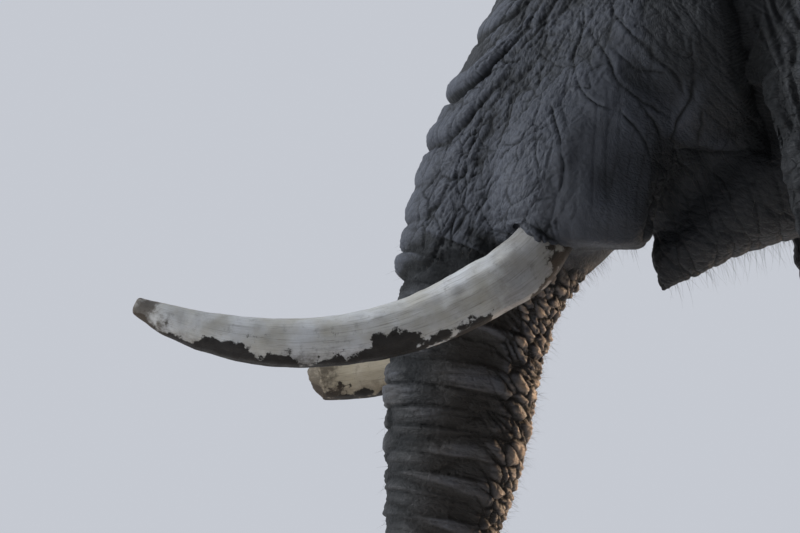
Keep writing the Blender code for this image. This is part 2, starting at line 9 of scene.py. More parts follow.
import bmesh
import bpy
import numpy as np
import openvdb
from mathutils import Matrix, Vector
from mathutils.bvhtree import BVHTree


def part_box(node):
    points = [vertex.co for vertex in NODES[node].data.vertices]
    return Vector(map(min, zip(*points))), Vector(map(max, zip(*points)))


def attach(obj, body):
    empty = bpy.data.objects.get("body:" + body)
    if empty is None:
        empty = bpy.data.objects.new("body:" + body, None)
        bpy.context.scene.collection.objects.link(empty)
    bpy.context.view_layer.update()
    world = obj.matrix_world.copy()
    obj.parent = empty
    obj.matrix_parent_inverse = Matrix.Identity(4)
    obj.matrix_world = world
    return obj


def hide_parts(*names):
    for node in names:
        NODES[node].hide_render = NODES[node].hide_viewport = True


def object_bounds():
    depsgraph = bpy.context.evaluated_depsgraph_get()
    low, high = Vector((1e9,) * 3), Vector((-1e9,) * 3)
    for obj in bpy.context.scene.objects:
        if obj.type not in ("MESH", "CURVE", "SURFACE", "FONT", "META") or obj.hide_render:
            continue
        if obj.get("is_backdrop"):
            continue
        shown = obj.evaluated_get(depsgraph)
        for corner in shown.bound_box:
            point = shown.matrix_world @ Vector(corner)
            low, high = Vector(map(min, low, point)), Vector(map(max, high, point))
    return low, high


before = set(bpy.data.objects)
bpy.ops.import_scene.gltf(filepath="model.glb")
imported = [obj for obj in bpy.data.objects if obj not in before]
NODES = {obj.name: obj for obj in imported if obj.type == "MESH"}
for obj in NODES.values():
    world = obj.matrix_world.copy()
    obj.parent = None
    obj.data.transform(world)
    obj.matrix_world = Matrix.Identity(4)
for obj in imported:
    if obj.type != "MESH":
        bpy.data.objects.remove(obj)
cad_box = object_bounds()

FLESH = sorted(n for n in NODES if not any(word in n for word in ("tusk", "eye", "nail", "tuft")))
SIDES = {"left": 1, "right": -1}

# ---------------------------------------------------------------- small tools on arrays


def smoothstep(low, high, x):
    """0 up to low and 1 from high on, or the other way round if low is the greater."""
    t = np.clip((x - low) / (high - low), 0.0, 1.0)
    return t * t * (3 - 2 * t)


def bump(x, middle, reach):
    """1 at the middle, fading to 0 at that reach on both sides."""
    return np.exp(-(((x - middle) / reach) ** 2) * 2.5)


def unit(rows):
    return rows / np.maximum(np.linalg.norm(rows, axis=1, keepdims=True), 1e-12)


def turned(forward, up, angle):
    """How far places lie along a line that climbs at that angle in radians, and across it."""
    cos, sin = np.cos(angle), np.sin(angle)
    return forward * cos + up * sin, up * cos - forward * sin


def scatter(cells, seed):
    """An even random number in 0..1 for each row of whole numbers."""
    h = (cells[:, 0] * 73856093) ^ (cells[:, 1] * 19349663) ^ (cells[:, 2] * 83492791) ^ (seed * 2654435761)
    h = (h ^ (h >> 13)) * 1274126177
    h = h ^ (h >> 16)
    h = (h * 2246822519) & 0x7FFFFFFF
    h = h ^ (h >> 15)
    return (h & 0xFFFFF) / float(0x100000)


def chance(numbers, seed, second=0, third=0):
    """A random number in 0..1 for each whole number; the other two whole numbers give further ones."""
    return scatter(np.stack([numbers, numbers * 0 + second, numbers * 0 + third], 1), seed)


def noise(places, seed):
    """Smooth noise in -1..1, with one knot for each unit cell."""
    base = np.floor(places).astype(np.int64)
    part = places - base
    part = part * part * (3 - 2 * part)
    total = np.zeros(len(places))
    for corner in product((0, 1), repeat=3):
        near = np.where(corner, part, 1 - part)
        total += near[:, 0] * near[:, 1] * near[:, 2] * scatter(base + corner, seed)
    return total * 2 - 1


def noises(places, seed, count):
    """That many different noises, side by side."""
    return np.stack([noise(places, seed + k) for k in range(count)], 1)


def cells(places, seed, jitter):
    """How far each place is from the border between its cell and the next, and a number for its cell."""
    base = np.floor(places).astype(np.int64)
    nearest, second = np.full((2, len(places)), 9.0)
    number = np.zeros(len(places))
    for step in product((-1, 0, 1), repeat=3):
        cell = base + step
        dice = [scatter(cell, seed + s) for s in (0, 17, 41)]
        x, y, z = (cell[:, k] + 0.5 + jitter * (dice[k] - 0.5) - places[:, k] for k in range(3))
        away = x**2 + y**2 + z**2
        closer = away < nearest
        second = np.where(closer, nearest, np.minimum(second, away))
        number = np.where(closer, dice[0], number)
        nearest = np.where(closer, away, nearest)
    return np.sqrt(second) - np.sqrt(nearest), number


def evened(line, rounds):
    """A line of points, smoothed that many times with its ends kept."""
    for _ in range(rounds):
        line[1:-1] = 0.25 * line[:-2] + 0.5 * line[1:-1] + 0.25 * line[2:]
    return line


def resampled(knots, count, rounds):
    """That many points along a smoothed line through knots, and how far along it each is."""
    knots = np.array(knots)
    reached = np.append(0, np.cumsum(np.linalg.norm(np.diff(knots, axis=0), axis=1)))
    at = np.linspace(0, reached[-1], count)
    line = np.stack([np.interp(at, reached, column) for column in knots.T], 1)
    return evened(line, rounds), at


BATCH = 20000  # how many places are measured at a time, to save memory


def nearest_on(line, places):
    """The number of a line's point nearest to each place, the gap from it and the line's direction there."""
    parts = np.array_split(places, len(places) // BATCH + 1)
    near = np.concatenate([((part[:, None] - line) ** 2).sum(axis=2).argmin(axis=1) for part in parts])
    return near, places - line[near], unit(np.gradient(line, axis=0))[near]


# ---------------------------------------------------------------- the smooth shape of the flesh

VOXEL = 0.014  # the width of the quads that the flesh is first laid out in
CLOSING = 0.012  # gaps narrower than twice this are closed
COAT_DEPTH = 0.003  # how far the skin is set in, to make room for its folds


def node_mesh(name):
    """The points and triangles of a CAD node."""
    mesh = NODES[name].data
    mesh.calc_loop_triangles()
    points = np.empty(len(mesh.vertices) * 3, np.float32)
    mesh.vertices.foreach_get("co", points)
    triangles = np.empty(len(mesh.loop_triangles) * 3, np.int32)
    mesh.loop_triangles.foreach_get("vertices", triangles)
    return points.reshape(-1, 3), triangles.reshape(-1, 3)


def joined(meshes):
    """The points and faces of several meshes as those of one."""
    points, triangles, first = [], [], 0
    for some_points, some_triangles in meshes:
        points.append(some_points)
        triangles.append(some_triangles + first)
        first += len(some_points)
    return np.concatenate(points), np.concatenate(triangles)


def closed(points, triangles, voxel, closing):
    """One closed mesh of even quads round all the given solids, with the thin cuts between them filled."""
    lattice = openvdb.createLinearTransform(voxelSize=voxel)
    level_set = openvdb.FloatGrid.createLevelSetFromPolygons
    points, triangles = points.astype(np.float32), triangles.astype(np.uint32)
    field = level_set(points, triangles=triangles, transform=lattice, halfWidth=3.0)
    wide, quads = field.convertToQuads(isovalue=closing)
    field = level_set(wide, quads=quads, transform=lattice, halfWidth=3.0)
    points, quads = field.convertToQuads(isovalue=-closing)
    return points.astype(float), quads[:, ::-1].astype(np.int64)


def largest_piece(points, faces):
    """Drops all but the largest connected piece of a mesh."""
    one = faces.ravel()
    two = np.roll(faces, -1, axis=1).ravel()
    label = np.arange(len(points))
    while True:
        low = np.minimum(label[one], label[two])
        new = label.copy()
        np.minimum.at(new, one, low)
        np.minimum.at(new, two, low)
        new = new[new]
        if (new == label).all():
            break
        label = new
    kept = label == np.bincount(label).argmax()
    order = np.cumsum(kept) - 1
    return points[kept], order[faces[kept[faces[:, 0]]]]


class Links:
    """The neighbours of each point of a mesh, for smoothing."""

    def __init__(self, count, faces):
        one = faces.ravel()
        two = np.roll(faces, -1, axis=1).ravel()
        pairs = np.unique(np.concatenate([one * count + two, two * count + one]))
        source, self.target = pairs // count, pairs % count
        self.starts = np.searchsorted(source, np.arange(count))
        self.number = np.bincount(source, minlength=count)

    def mean(self, values):
        total = np.add.reduceat(values[self.target], self.starts, axis=0)
        return total / (self.number[:, None] if values.ndim > 1 else self.number)

    def smooth(self, values, steps):
        for _ in range(steps):
            values = 0.5 * values + 0.5 * self.mean(values)
        return values


def normals(points, faces):
    """Outward unit normals of the points of a mesh of quads or triangles."""
    a, b, c, d = (points[faces[:, k]] for k in (0, -2, -3, -1))
    cross = np.cross(b - a, d - c)
    total = np.zeros_like(points)
    for column in faces.T:
        for axis in range(3):
            total[:, axis] += np.bincount(column, weights=cross[:, axis], minlength=len(points))
    return unit(total)


# ---------------------------------------------------------------- where things are


def low_high(node):
    """The least and greatest corners of a CAD node's box."""
    low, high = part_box(node)
    return np.array(low), np.array(high)


EYES = {side: sum(low_high(f"eye_{side}")) / 2 for side in SIDES}
HEAD_SLOPE = (EYES["left"][2] - EYES["right"][2]) / (EYES["left"][0] - EYES["right"][0])
EYE_Y = EYES["left"][1]
EYE_Z = (EYES["left"][2] + EYES["right"][2]) / 2
LIP_Z = low_high("trunk_upper")[1][2] + 0.03  # level of the upper lip's bottom edge


def nearest_nodes(points):
    """The number in FLESH of the CAD node that each point is nearest to."""
    solids = [node_mesh(name) for name in FLESH]
    owner = np.concatenate([np.full(len(triangles), k) for k, (_, triangles) in enumerate(solids)])
    all_points, all_triangles = joined(solids)
    tree = BVHTree.FromPolygons(all_points.tolist(), all_triangles.tolist())
    return np.array([owner[tree.find_nearest(point)[2]] for point in points.tolist()])


ROOT_LENGTH = 0.135  # how much of a tusk fills its socket


def tusk_roots():
    """The roots of the tusks, as solids that fill their sockets, so that the skin closes round them."""
    for name in ("tusk_left", "tusk_right"):
        points, _ = node_mesh(name)
        root = points[points[:, 1] > points[:, 1].max() - ROOT_LENGTH]
        hull = bpy.data.meshes.new("root")
        hull.from_pydata(root.tolist(), [], [])
        shape = bmesh.new()
        shape.from_mesh(hull)
        bmesh.ops.convex_hull(shape, input=shape.verts)
        bmesh.ops.triangulate(shape, faces=shape.faces)
        shape.verts.index_update()
        points = np.array([v.co for v in shape.verts], np.float32)
        triangles = np.array([[v.index for v in face.verts] for face in shape.faces], np.int32)
        shape.free()
        yield points, triangles


# how many rounds of smoothing the parts of the flesh take: the first word found in a node's name counts
EVEN_ROUNDS = {
    "trunk": 10,
    "chest": 170,
    "hindquarters": 170,
    "neck": 130,
    "upper": 120,
    "lower": 90,
    "foot": 30,
    "head": 10,
    "ear": 26,
    "tail": 6,
}
LIP_ROUNDS = 3  # near the lips, which keep their edges
FINE_ROUNDS = 30  # below this many rounds, what smoothing takes off is given back within a few centimetres
NARROW, WIDE = 8, 52  # rounds that even out what is given back, over a narrow and a wide area


def smooth_flesh():
    """The flesh as one smooth mesh of even quads, with the nearest CAD node of each of its points."""
    solids = [node_mesh(name) for name in FLESH] + list(tusk_roots())
    points, quads = largest_piece(*closed(*joined(solids), VOXEL, CLOSING))
    links = Links(len(points), quads)
    owner = nearest_nodes(points)
    rounds = [next(EVEN_ROUNDS[word] for word in EVEN_ROUNDS if word in name) for name in FLESH]
    rounds = np.array(rounds, float)[owner]
    lips = (points[:, 1] < EYE_Y + 0.22) & (points[:, 2] > LIP_Z - 0.10) & (points[:, 2] < LIP_Z + 0.06)
    rounds = np.where(lips, np.minimum(rounds, LIP_ROUNDS), rounds)
    rounds = links.smooth(rounds, 12)
    start = points.copy()
    floor = points[:, 2] < 0.004
    for turn in range(int(rounds.max()) + 1):
        share = np.clip(rounds - turn, 0, 1) * np.where(floor, 0.0, 0.9)
        points = points + share[:, None] * (links.mean(points) - points)
    wide = links.smooth(smoothstep(FINE_ROUNDS - 12, FINE_ROUNDS + 12, rounds), 8)
    points = smooth_back(points, start, quads, links, wide)
    points[:, 2] = np.where(floor, start[:, 2], np.maximum(points[:, 2], 0.0))
    return points, quads, links, owner


def smooth_back(points, start, quads, links, wide):
    """Moves a smoothed mesh out again by what smoothing took off it, evened over a narrow or wide area."""
    for _ in range(2):
        out = normals(points, quads)
        lost = links.smooth(((start - points) * out).sum(axis=1), NARROW)
        even = links.smooth(lost, WIDE)
        points = points + out * (even * wide + lost * (1 - wide))[:, None]
    return points


# ---------------------------------------------------------------- how the lips close on the tusks

ROOT_CAP = 0.11  # how much of a tusk's root is cut at a slant
TUSK_LEVELS = 42  # levels between which the middle of a tusk is measured
EDGE_STEPS = 8  # steps along a triangle's edge in which its surface is measured


def tusk_line(name):
    """The middle line of a tusk as points from its tip to its root, with its radius at each."""
    points, triangles = node_mesh(name)
    corners = points[triangles].astype(float)
    steps = np.arange(EDGE_STEPS + 1) / EDGE_STEPS
    steps = [(i, j) for i, j in product(steps, repeat=2) if i + j <= 1]
    dense = [corners[:, 0] * (1 - i - j) + corners[:, 1] * i + corners[:, 2] * j for i, j in steps]
    dense = np.concatenate(dense)
    levels = np.linspace(dense[:, 1].min(), dense[:, 1].max(), TUSK_LEVELS)
    line, radius = [], []
    for low, high in zip(levels[:-1], levels[1:]):
        ring = dense[(dense[:, 1] >= low) & (dense[:, 1] <= high)]
        least, most = ring.min(axis=0), ring.max(axis=0)
        line.append(((least[0] + most[0]) / 2, (low + high) / 2, (least[2] + most[2]) / 2))
        radius.append((most[0] - least[0]) / 2)
    line, radius = np.array(line), np.array(radius)
    sound = np.flatnonzero(line[:, 1] < levels[-1] - ROOT_CAP)
    straight = line[sound[-1]] - line[sound[-5]]
    further = (line[:, 1] - line[sound[-1], 1]) / straight[1]
    cap = further > 0
    line[cap] = line[sound[-1]] + further[cap][:, None] * straight
    radius[cap] = radius[sound[-1]]
    return evened(line, 3)[1:-1], radius[1:-1]


CHIN_BACK = 0.035  # how far behind the jaw's front its lowest point is
CHIN_REACH = 0.055
CHIN_DROP = 0.010  # how much of the chin's point the smoothing took off
LIP_SLANT = 0.05  # how much the lip's edge over a tusk rises for each metre forward
LIP_COVER = 0.007  # the lip's thickness over a tusk at its edge


def fit_tusks(points):
    """Presses the skin over the tusks' roots above the lips' edges, and inside the tusks below them."""
    moved = points.copy()
    for side, sign in SIDES.items():
        line, radius = tusk_line(f"tusk_{side}")
        behind = points[:, 1] - line[-1, 1]
        beside = (points[:, 0] * sign > 0.08) & (behind > -0.34) & (behind < 0.12)
        rows = np.flatnonzero(beside & (np.abs(points[:, 2] - LIP_Z) < 0.32))
        p = points[rows]
        near, gap, ahead = nearest_on(line, p)
        beyond = (gap * ahead).sum(axis=1)
        gap = gap - beyond[:, None] * ahead
        away = np.linalg.norm(gap, axis=1)
        girth = radius[near]
        above = p[:, 2] - HEAD_SLOPE * p[:, 0] - (LIP_Z - 0.004) + LIP_SLANT * (p[:, 1] - EYE_Y + 0.07)
        over = smoothstep(-0.003, 0.008, above) * smoothstep(EYE_Y - 0.285, EYE_Y - 0.255, p[:, 1])
        cover = girth + LIP_COVER + 0.010 * smoothstep(0.0, 0.06, above)
        outer = smoothstep(-0.35, 0.0, gap[:, 0] * sign / np.maximum(away, 1e-6))
        reach = np.where(away < cover, (cover - away) * over * outer, 0.0)
        below = (1 - smoothstep(-0.010, 0.001, above)) * smoothstep(girth + 0.035, girth + 0.012, away)
        inside = np.minimum(away, 0.80 * girth) - away
        reach += inside * below * outer * smoothstep(EYE_Y - 0.30, EYE_Y - 0.27, p[:, 1])
        reach *= smoothstep(0.030, 0.008, np.abs(beyond)) * smoothstep(0.0, 0.02, away)
        moved[rows] = p + gap / np.maximum(away, 1e-6)[:, None] * reach[:, None]
    chin = np.array([0.0, *low_high("lower_jaw")[0][1:]])
    chin[1] += CHIN_BACK
    near = bump(np.linalg.norm(points - chin, axis=1), 0.0, CHIN_REACH)
    moved += near[:, None] * np.array([0.0, 0.0, -CHIN_DROP])
    return moved


# ---------------------------------------------------------------- finer triangles where the skin shows most

EDGE_SLACK = 1.35  # an edge is split when it is this much longer than wanted

# how a triangle is cut at the middles of its long edges, by how many it has: corners 0 to 2 are its own,
# and corner 3 lies between the first two of them, with 4 and 5 following round
CUTS = {
    0: [(0, 1, 2)],
    1: [(0, 3, 2), (3, 1, 2)],
    2: [(3, 1, 4), (0, 3, 4), (0, 4, 2)],
    3: [(0, 3, 5), (3, 1, 4), (5, 4, 2), (3, 4, 5)],
}


def split_quads(points, quads):
    """Two triangles for each quad, cut along its shorter diagonal, facing outward."""
    first = np.linalg.norm(points[quads[:, 0]] - points[quads[:, 2]], axis=1)
    second = np.linalg.norm(points[quads[:, 1]] - points[quads[:, 3]], axis=1)
    rolled = np.where((second < first)[:, None], np.roll(quads, -1, axis=1), quads)
    return np.concatenate([rolled[:, [0, 1, 2]], rolled[:, [0, 2, 3]]])


def refined(points, triangles, fields, wanted):
    """Splits the edges that are longer than wanted, bowing each new point out with the surface."""
    count = len(points)
    out = normals(points, triangles)
    ends = np.stack([triangles, np.roll(triangles, -1, axis=1)], axis=2).reshape(-1, 2)
    keys, place = np.unique(ends.min(axis=1) * count + ends.max(axis=1), return_inverse=True)
    a, b = keys // count, keys % count
    along = points[b] - points[a]
    long = np.linalg.norm(along, axis=1) > EDGE_SLACK * 0.5 * (wanted[a] + wanted[b])
    a, b, along = a[long], b[long], along[long]
    bow = (along * out[a]).sum(axis=1)[:, None] * out[a] - (along * out[b]).sum(axis=1)[:, None] * out[b]
    new_points = np.concatenate([points, 0.5 * (points[a] + points[b]) - bow / 8])
    new_fields = np.concatenate([fields, 0.5 * (fields[a] + fields[b])])
    middle = np.full(len(keys), -1)
    middle[long] = count + np.arange(long.sum())
    middle = middle[place.reshape(-1)].reshape(-1, 3)
    cut = (middle >= 0).sum(axis=1)
    pieces = []
    for number, shapes in CUTS.items():
        for turn in range(3 if number in (1, 2) else 1):
            corners = np.concatenate([np.roll(rows, -turn, axis=1) for rows in (triangles, middle)], axis=1)
            rows = cut == number
            if number in (1, 2):
                rows &= (corners[:, 3] >= 0) & (corners[:, 5] < 0)
            pieces += [corners[rows][:, shape] for shape in shapes]
    return new_points, np.concatenate(pieces), new_fields


# groups of CAD nodes by the words in their names, each with a soft mask
GROUPS = {
    "head": ("head",),
    "jaw": ("lower_jaw",),
    "trunk": ("trunk",),
    "neck": ("neck",),
    "ear": ("ear",),
    "foreleg": ("foreleg",),
    "hindleg": ("hindleg",),
    "foot": ("foot",),
    "tail": ("tail",),
    "body": ("chest", "hindquarters"),
}
WIDEST_EDGE = 0.0165
EYE_AREA = 0.075  # how far round an eye the finest triangles reach


def wanted_edges(points, fields):
    """How long an edge may be at each point: shortest round the eyes and on the side of the face."""
    x, y = points[:, 0], points[:, 1]
    mask = dict(zip(GROUPS, fields.T))
    wanted = WIDEST_EDGE - 0.006 * np.clip(mask["neck"] * 2, 0, 1)
    for part, edge in (("foot", 0.0100), ("ear", 0.0105)):
        wanted = np.where(mask[part] > 0.1, np.minimum(wanted, edge), wanted)
    wanted = np.where((mask["ear"] > 0.1) & (y < EYE_Y + 0.55) & (x > 0), 0.0062, wanted)
    face = np.clip(mask["head"] + mask["trunk"] + mask["jaw"], 0, 1)
    side = np.where(x > -0.02, 0.0037, 0.0064)
    wanted = np.where(face > 0.12, np.minimum(wanted, side), wanted)
    for centre in EYES.values():
        near = np.linalg.norm(points - centre, axis=1) < EYE_AREA
        wanted = np.where(near, np.minimum(wanted, 0.0021), wanted)
    return wanted


def fine_mesh():
    """The smooth flesh as triangles, fine where they show, with the soft masks of the groups."""
    points, quads, links, owner = smooth_flesh()
    belongs = [[any(word in name for word in words) for words in GROUPS.values()] for name in FLESH]
    fields = links.smooth(np.array(belongs, float)[owner], 14)
    triangles = split_quads(points, quads)
    for _ in range(3):
        points, triangles, fields = refined(points, triangles, fields, wanted_edges(points, fields))
    return fit_tusks(points), triangles, fields


# ---------------------------------------------------------------- folds and wrinkles

# the trunk's middle line, (y, z) from the lip down and round the curl
TRUNK_LINE = [
    (-1.560, 1.700),
    (-1.634, 1.560),
    (-1.686, 1.440),
    (-1.718, 1.320),
    (-1.736, 1.180),
    (-1.753, 1.045),
    (-1.777, 0.905),
    (-1.801, 0.712),
    (-1.820, 0.520),
    (-1.804, 0.352),
    (-1.744, 0.215),
    (-1.647, 0.140),
    (-1.546, 0.124),
    (-1.460, 0.165),
    (-1.419, 0.242),
    (-1.412, 0.340),
]


class Skin:
    """The skin's points, the masks and coordinates that its folds are laid out in, and their sum so far."""

    def __init__(self, points, triangles, fields):
        self.points, self.triangles = points, triangles
        self.out = normals(points, triangles)
        self.mask = dict(zip(GROUPS, fields.T))
        self.x, self.y = points[:, 0], points[:, 1]
        # on the head, heights are measured square to the line through the eyes
        self.z = points[:, 2] - HEAD_SLOPE * self.x * smoothstep(EYE_Y + 1.1, EYE_Y + 0.3, self.y)
        self.height, self.crease = np.zeros((2, len(points)))
        self.face = np.clip(self.mask["head"] + self.mask["jaw"] + self.mask["trunk"], 0, 1)
        self.behind = self.y - self.front_line()
        self.along, self.back = self.trunk_coordinates()

    def front_line(self):
        """The y of the foremost point of the face and trunk at each point's height."""
        face = (self.face > 0.6) & (np.abs(self.x) < 0.14)
        levels = np.arange(0.10, 3.0, 0.02)
        low = np.full(len(levels) + 1, 9.0)
        np.minimum.at(low, np.digitize(self.z[face], levels), self.y[face])
        middles = np.append(levels - 0.01, levels[-1] + 0.01)
        found = low < 9
        return np.interp(self.z, middles, evened(np.interp(middles, middles[found], low[found]), 4))

    def trunk_coordinates(self):
        """Length down the trunk's middle line from its top, and distance behind that line."""
        line, at = resampled(TRUNK_LINE, 120, 6)
        along = LIP_Z + 0.14 - self.z
        back = self.behind.copy()
        rows = np.flatnonzero((self.mask["trunk"] > 0.02) | ((self.face > 0.3) & (self.z < LIP_Z + 0.16)))
        near, gap, ahead = nearest_on(line, np.stack([self.y[rows], self.z[rows]], 1))
        along[rows] = at[near] + np.clip((gap * ahead).sum(axis=1), -0.03, 0.03)
        back[rows] = gap[:, 1] * ahead[:, 0] - gap[:, 0] * ahead[:, 1]
        return along, back

    # the second number darkens the creases: painted shade, with dirt in them
    def add(self, rows, height, crease=0.0):
        self.height[rows] += height
        self.crease[rows] = np.maximum(self.crease[rows], np.clip(crease, 0, 1))

    def cracked(self, share, where, size, depth, seed, puff, width, bend, dark=None, jitter=0.9):
        """Grooves between cells, with the cells puffed up between them, where the share isn't nothing.

        where is three coordinates of every point, and size is what a cell spans of each. depth is in metres,
        puff is how far the cells bulge for that depth, width is how wide the grooves are for a cell, and bend
        is how far they stray. dark is how dark the grooves are painted, as painted shade with dirt in them,
        which otherwise goes by their depth.
        """
        rows = np.flatnonzero(share > 0.02)
        where = np.stack([values[rows] / span for values, span in zip(where, size)], 1)
        where += bend * noises(self.points[rows] * 9.0, seed + 60, 3)
        edge, number = cells(where, seed, jitter)
        groove = np.exp(-((edge / width) ** 2))
        rise = 1 - (1 - np.clip(edge / 0.85, 0, 1)) ** 2
        shape = puff * (rise - 0.45) - (1 - puff * 0.4) * groove
        dark = min(1.0, depth / 0.006) if dark is None else dark
        amount = share[rows]
        self.add(rows, amount * depth * (0.65 + 0.7 * number) * shape, amount * dark * groove**2)

    def flow(self):
        """Coordinates for the finest lines: their second number runs across the folds."""
        head = np.clip(self.mask["head"] + self.mask["jaw"], 0, 1)
        angle = 22 + 40 * smoothstep(0.08, 0.22, self.behind) - 96 * smoothstep(0.30, 0.44, self.behind)
        ahead, across = turned(self.y - EYE_Y, self.z - EYE_Z, np.radians(angle * head))
        trunk = np.clip(self.mask["trunk"], 0, 1)
        ahead = ahead * (1 - trunk) + self.back * trunk
        return np.stack([ahead, across * (1 - trunk) - self.along * trunk, self.x], 1)


def trunk_folds(skin):
    """Even rings round the trunk, finer ones between them, and crags down its rear."""
    low_face = skin.mask["head"] * smoothstep(LIP_Z + 0.10, LIP_Z - 0.02, skin.z)
    low_face = low_face * smoothstep(0.42, 0.28, skin.behind)
    share = np.clip(np.clip(skin.mask["trunk"], 0, 1) + low_face, 0, 1)
    share = share * smoothstep(LIP_Z + 0.16, LIP_Z + 0.02, skin.z)
    toward_tip = smoothstep(1.6, 0.1, skin.along)
    rear = smoothstep(0.045, 0.125, skin.back) * smoothstep(1.45, 1.2, skin.along)
    under_tusk = bump(skin.along, 0.20, 0.22) * smoothstep(-0.06, 0.06, skin.back)
    rings = share * (1 - 0.75 * rear) * (0.3 + 0.7 * toward_tip)
    crags = share * np.clip(rear + 0.6 * under_tusk, 0, 1)
    lengthwise = share * np.clip(0.25 + rear, 0, 1)
    even = (skin.x, skin.along, skin.back)
    slanting = (skin.x, skin.along - 0.7 * skin.back, skin.back)
    skin.cracked(rings, even, (1.3, 0.051, 1.3), 0.0165, 3, 1.0, 0.12, 0.07, jitter=0.3)
    skin.cracked(share * (0.35 + 0.65 * toward_tip), even, (0.16, 0.022, 0.16), 0.0030, 5, 0.8, 0.14, 0.25)
    skin.cracked(share * (0.4 + 0.6 * toward_tip), even, (0.06, 0.0105, 0.06), 0.0013, 9, 0.7, 0.2, 0.3)
    skin.cracked(crags, slanting, (0.060, 0.030, 0.062), 0.0085, 10, 0.9, 0.16, 0.40)
    skin.cracked(lengthwise, even, (0.028, 0.060, 0.028), 0.0020, 7, 0.7, 0.14, 0.3)


# the creases of the face: where they are, at how many degrees they climb to the back, the size of a cell
# across and along them, and then the depth, seed, puff, width, bend and darkness that Skin.cracked takes
FACE_CREASES = [
    ("front_top", 52, 0.034, 0.13, 0.0042, 11, 0.8, 0.07, 0.30, 0.8),
    ("front_low", 68, 0.028, 0.085, 0.0046, 12, 0.8, 0.08, 0.35, 0.8),
    ("front", 50, 0.017, 0.050, 0.0021, 13, 0.7, 0.11, 0.35, 0.5),
    ("front", -25, 0.020, 0.036, 0.0013, 14, 0.6, 0.12, 0.4, 0.4),
    ("front", 60, 0.0085, 0.026, 0.0010, 15, 0.8, 0.2, 0.35),
    ("middle", 60, 0.036, 0.12, 0.0034, 17, 0.7, 0.06, 0.35, 0.8),
    ("middle", 48, 0.020, 0.050, 0.0019, 19, 0.7, 0.10, 0.40, 0.5),
    ("middle", -30, 0.022, 0.034, 0.0011, 20, 0.6, 0.12, 0.40, 0.4),
    ("middle", 66, 0.0090, 0.024, 0.0010, 21, 0.8, 0.2, 0.35),
    ("rear", -46, 0.044, 0.17, 0.0027, 23, 0.7, 0.05, 0.35, 0.7),
    ("rear", -70, 0.022, 0.060, 0.0015, 25, 0.7, 0.09, 0.40, 0.4),
    ("rear", 20, 0.013, 0.030, 0.0009, 27, 0.7, 0.18, 0.35),
    ("sheath", 86, 0.030, 0.24, 0.0012, 29, 0.7, 0.14, 0.3),
    ("jaw", -64, 0.040, 0.20, 0.0034, 37, 0.7, 0.10, 0.3),
    ("jaw", -20, 0.017, 0.045, 0.0016, 39, 0.7, 0.16, 0.3),
]


def face_folds(skin):
    """The folds of the face, which climb steeply to the back, with a finer net over them."""
    head = skin.mask["head"] * smoothstep(EYE_Y + 0.75, EYE_Y + 0.45, skin.y)
    head = head * smoothstep(LIP_Z - 0.06, LIP_Z + 0.08, skin.z)
    below_crown = smoothstep(2.95, 2.45, skin.z)
    sheath = np.clip(bump(skin.y, EYE_Y + 0.03, 0.27) * bump(skin.z, LIP_Z + 0.16, 0.36) * 1.5, 0, 1)
    rough = 1 - 0.94 * sheath
    d = skin.behind
    low = smoothstep(LIP_Z + 0.55, LIP_Z + 0.25, skin.z)
    off_centre = 0.5 + 0.5 * smoothstep(0.05, 0.16, np.abs(skin.x))
    front = head * below_crown * smoothstep(0.26, 0.12, d) * off_centre
    middle = head * below_crown * smoothstep(0.08, 0.20, d) * smoothstep(0.46, 0.30, d)
    rear = head * smoothstep(0.30, 0.44, d) * smoothstep(EYE_Z + 0.35, EYE_Z - 0.05, skin.z)
    shares = {
        "front_top": front * (1 - low),
        "front_low": front * low,
        "front": front,
        "middle": middle * rough,
        "rear": rear * rough,
        "sheath": head * sheath,
        "jaw": skin.mask["jaw"],
    }
    for where, degrees, across, along, *how in FACE_CREASES:
        lines = turned(skin.y, skin.z, math.radians(degrees))
        skin.cracked(shares[where], (*lines, skin.x), (along, across, along), *how)
    skin.cracked(shares["sheath"], skin.points.T, (0.014, 0.014, 0.014), 0.0008, 31, 0.7, 0.16, 0.3)
    skin.add(slice(None), head * (0.003 * noise(skin.points * 17, 603) + 0.004 * noise(skin.points * 8, 604)))


# rings that notch the front of the face: their height above the lip, their depth and the bulge above them
FRONT_RINGS = [
    (0.640, 0.005, 0.004),
    (0.506, 0.008, 0.005),
    (0.369, 0.028, 0.017),
    (0.258, 0.016, 0.012),
    (0.165, 0.005, 0.004),
    (0.086, 0.010, 0.007),
    (-0.038, 0.010, 0.010),
]


def front_rings(skin):
    """The deep rings that notch the outline of the face's front, and run out a little way round its sides."""
    rows = np.flatnonzero((skin.face > 0.4) & (skin.behind < 0.30) & (np.abs(skin.z - LIP_Z - 0.35) < 0.55))
    p, behind = skin.points[rows], skin.behind[rows]
    level = skin.z[rows] - behind * (0.10 + 0.9 * smoothstep(0.02, 0.14, behind))
    level += 0.020 * noise(p * 5, 601) + 0.005 * noise(p * 22, 602)
    fade = skin.face[rows] * smoothstep(0.17, 0.03, behind) * (0.78 + 0.5 * noise(p * (7, 3, 3), 603))
    for height, depth, bulge in FRONT_RINGS:
        above = level - LIP_Z - height
        groove = np.exp(-((above / 0.009) ** 2))
        swell = np.exp(-(((above - 0.032) / 0.022) ** 2))
        skin.add(rows, fade * (bulge * swell - depth * groove), 0.9 * fade * groove**2)


